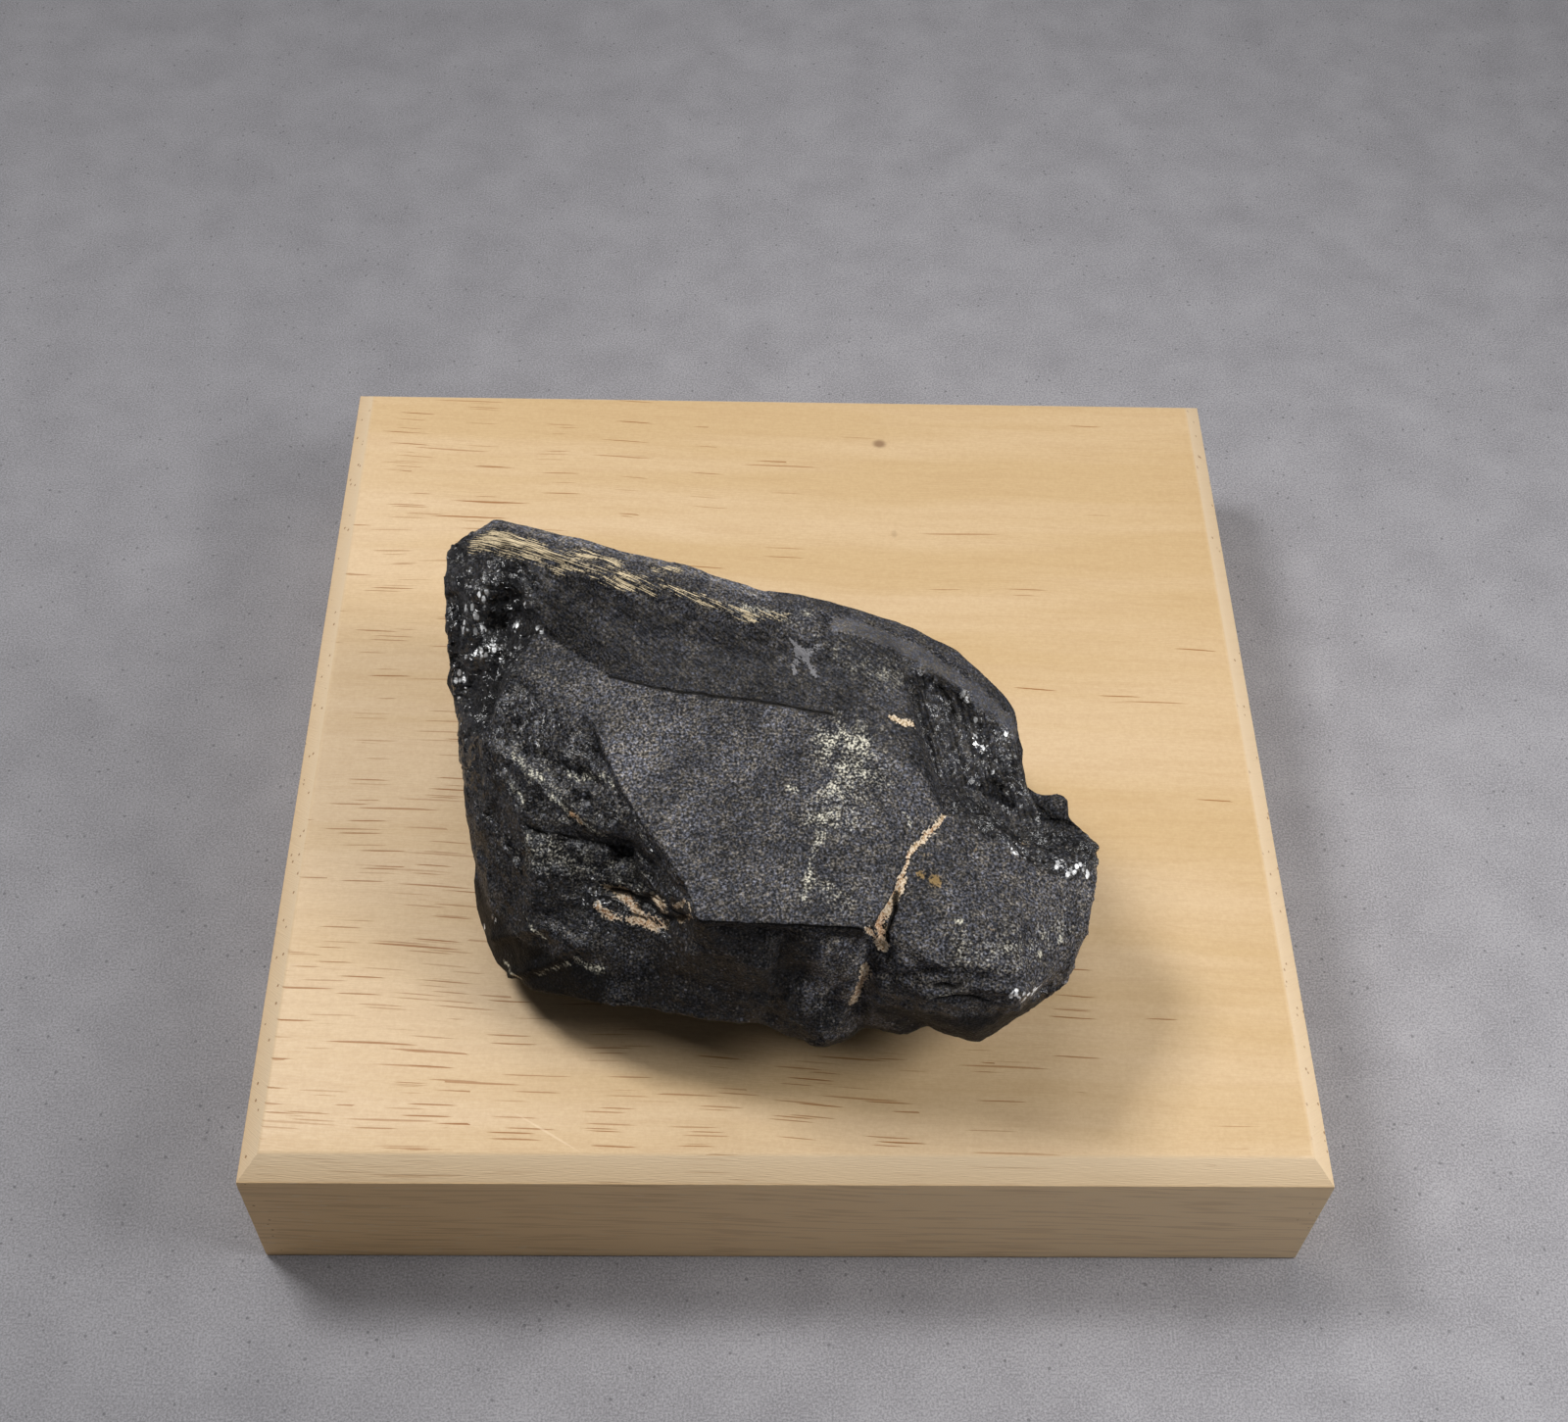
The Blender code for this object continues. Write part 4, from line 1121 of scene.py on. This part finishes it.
def wood_material():
    """Growth bands with painted shade, threads, chamfer and sides with painted light, vessel lines, pores,
    knots and a scratch, each over the last.

    The place across the grain mixes width and height, so that the top and the front show the same long grain.
    """
    material, shader, place = new_material("block_wood")
    side, edge = carried(shader, "side", "chamfer")
    x, y, z = split(place)
    across = line(x, GRAIN_SLOPE, y + z + noise(place, 0.03, 1.0) * 3.0)
    drawn = joined(x, across, y - z)

    bands = noise(stretched(drawn, (80.0, 9.0, 14.0)), 1.0, 3.0, 0.55)
    # painted light and shade: paler towards the left, darker and warmer towards the right and the rear
    bands_and_painted_shade = line(y, 0.005, line(x, 0.008, ramp(bands, 0.3, 0.7)))
    colour = blend(bands_and_painted_shade, WOOD_PALE, WOOD_WARM)
    threads = use(THREADS, Along=x, Across=across, Length=1.5, Width=0.16, Share=0.5)
    streaks = use(THREADS, Along=x, Across=across, Length=14.0, Width=0.9, Share=0.35)
    fuzz = ramp(noise(place, 2.6, 3.0, 0.7), 0.3, 0.7, 0.0, 0.15)
    for mask in (threads["Mask"] * 0.06, streaks["Mask"] * 0.06, fuzz):
        colour = blend(mask, colour, WOOD_VESSEL)
    # painted light: the chamfers are made paler, as if lit more than the top
    colour = blend(edge * 0.9, colour, WOOD_PALE_AND_LIT_EDGE)
    colour = blend(side * 0.9, colour, side_wood(x, across, drawn))

    endwise = ramp(calc("ABSOLUTE", x), END_START, END_FULL, 1.0, 0.0)
    vessel_mask = vessel_marks(x, y, drawn) * endwise * line(calc("MAXIMUM", side, edge), -0.7, 1.0)
    pores = use(FLECKS, Position=place, Size=0.9, Share=0.5, Reach=0.2)
    pore_mask = pores["Mask"] * line(endwise, -0.7, 0.7)
    for mask in (vessel_mask, pore_mask):
        colour = blend(mask, colour, WOOD_VESSEL)
    small_knot = spot(place, SMALL_KNOT, (0.5, 0.9, 2.0), 0.2) * 0.35
    knots = calc("MAXIMUM", spot(place, KNOT, (1.1, 0.9, 2.0), 0.3), small_knot)
    colour = blend(knots * 0.8, colour, WOOD_KNOT)
    feed(shader, {
        "Base Color": blend(scratch_mask(place) * 0.45, colour, WOOD_PALE_AND_LIT_EDGE),
        "Roughness": line(threads["Height"], 0.15, 0.42),
        "Specular IOR Level": 0.4,
        "Normal": bumped(line(pore_mask, -0.08, line(vessel_mask, -0.015, threads["Height"] * 0.03))),
    })
    return material


# ---------------------------------------------------------------- floor, light and camera, in metres

FLOOR_HALF = 3.0
FLOOR_GREY = (0.41, 0.40, 0.42)
FLOOR_DARK = (0.215, 0.208, 0.222)
FLOOR_PIT_AND_SHADE = (0.05, 0.05, 0.055)
# each lamp's place, the sides of its rectangle and its power
LAMPS = {
    "top_light": ((0.0, 0.58, 0.95), (0.45, 0.6), 2.2),
    "left_light": ((-0.165, 0.07, 0.32), (0.09, 0.09), 0.81),
    "right_light": ((0.188, -0.072, 0.20), (0.1, 0.1), 0.44),
}
LAMP_TARGET = (0.0, -0.01, 0.03)
WORLD_COLOUR = (0.92, 0.95, 1.0)
WORLD_STRENGTH = 0.063
CAMERA_PLACE = (-0.00626, -0.13210, 0.19849)
CAMERA_TARGET = (-0.0001, 0.0024, 0.01905)
CAMERA_LENS = 48.24
CAMERA_SENSOR = 36.0
CAMERA_ROLL = 2.68


def make_floor():
    """A wide plain floor with the clouds, specks and pits of grey paper, and painted shade to the left and
    the rear.
    """
    corners = np.array([(-1, -1, 0), (1, -1, 0), (1, 1, 0), (-1, 1, 0)], dtype=float) * FLOOR_HALF
    corners[:, 2] = BLOCK_LOW[2]
    mesh = mesh_from("floor", corners, [np.array([[0, 1, 2, 3]])])
    material, shader, place = new_material("floor_grey")
    clouds = noise(place, 0.11, 4.0, 0.6)
    shade = line(noise(place, 4.6, 1.0, 0.6), 1.7, line(clouds, 0.6, 0.2))
    pits = use(FLECKS, Position=place, Size=1.4, Share=0.45, Reach=0.14)
    x, y, _ = split(place)
    colour = blend(ramp(shade, 0.85, 1.85), FLOOR_DARK, FLOOR_GREY)
    # pits, and painted shade towards the left and the rear
    for mask in (pits["Mask"] * 0.5, ramp(x, -70.0, 30.0, 0.24, 0.0), ramp(y, 30.0, 200.0, 0.0, 0.1)):
        colour = blend(mask, colour, FLOOR_PIT_AND_SHADE)
    feed(shader, {"Base Color": colour, "Roughness": 0.7})
    mesh.materials.append(material)
    add_object("floor", mesh)


def facing(place, target):
    """Turn that points a lamp or camera from its place to a target, with its own up kept upright."""
    return Vector(np.subtract(target, place)).to_track_quat("-Z", "Y").to_euler()


def make_light():
    """The lamps, each a rectangle turned to the crystal, and a faint even light from all round."""
    for name, (place, size, power) in LAMPS.items():
        lamp = bpy.data.lights.new(name, "AREA")
        lamp.shape = "RECTANGLE"
        lamp.size, lamp.size_y = size
        lamp.energy = power
        light = add_object(name, lamp)
        light.location = place
        light.rotation_euler = facing(place, LAMP_TARGET)
    world = bpy.data.worlds.new("studio")
    bpy.context.scene.world = world
    world.use_nodes = True
    feed(world.node_tree.nodes["Background"], {"Color": WORLD_COLOUR, "Strength": WORLD_STRENGTH})


def make_camera():
    """The camera at its place, turned to its target and rolled about its own line of sight."""
    data = bpy.data.cameras.new("camera")
    data.lens = CAMERA_LENS
    data.sensor_width = CAMERA_SENSOR
    camera = add_object("camera", data)
    turn = facing(CAMERA_PLACE, CAMERA_TARGET).to_matrix()
    turn = turn @ Matrix.Rotation(math.radians(CAMERA_ROLL), 3, "Z")
    camera.matrix_world = Matrix.Translation(CAMERA_PLACE) @ turn.to_4x4()
    bpy.context.scene.camera = camera


def ride_and_name(piece, node):
    """Sets a piece on the body and hides the solid's node that it stands for."""
    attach(piece, "root")
    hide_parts(node)


make_camera()
make_light()
make_floor()
ride_and_name(make_block(), "display_base")
ride_and_name(make_crystal(), "rutile_crystal")
bpy.context.scene.view_settings.view_transform = "Standard"
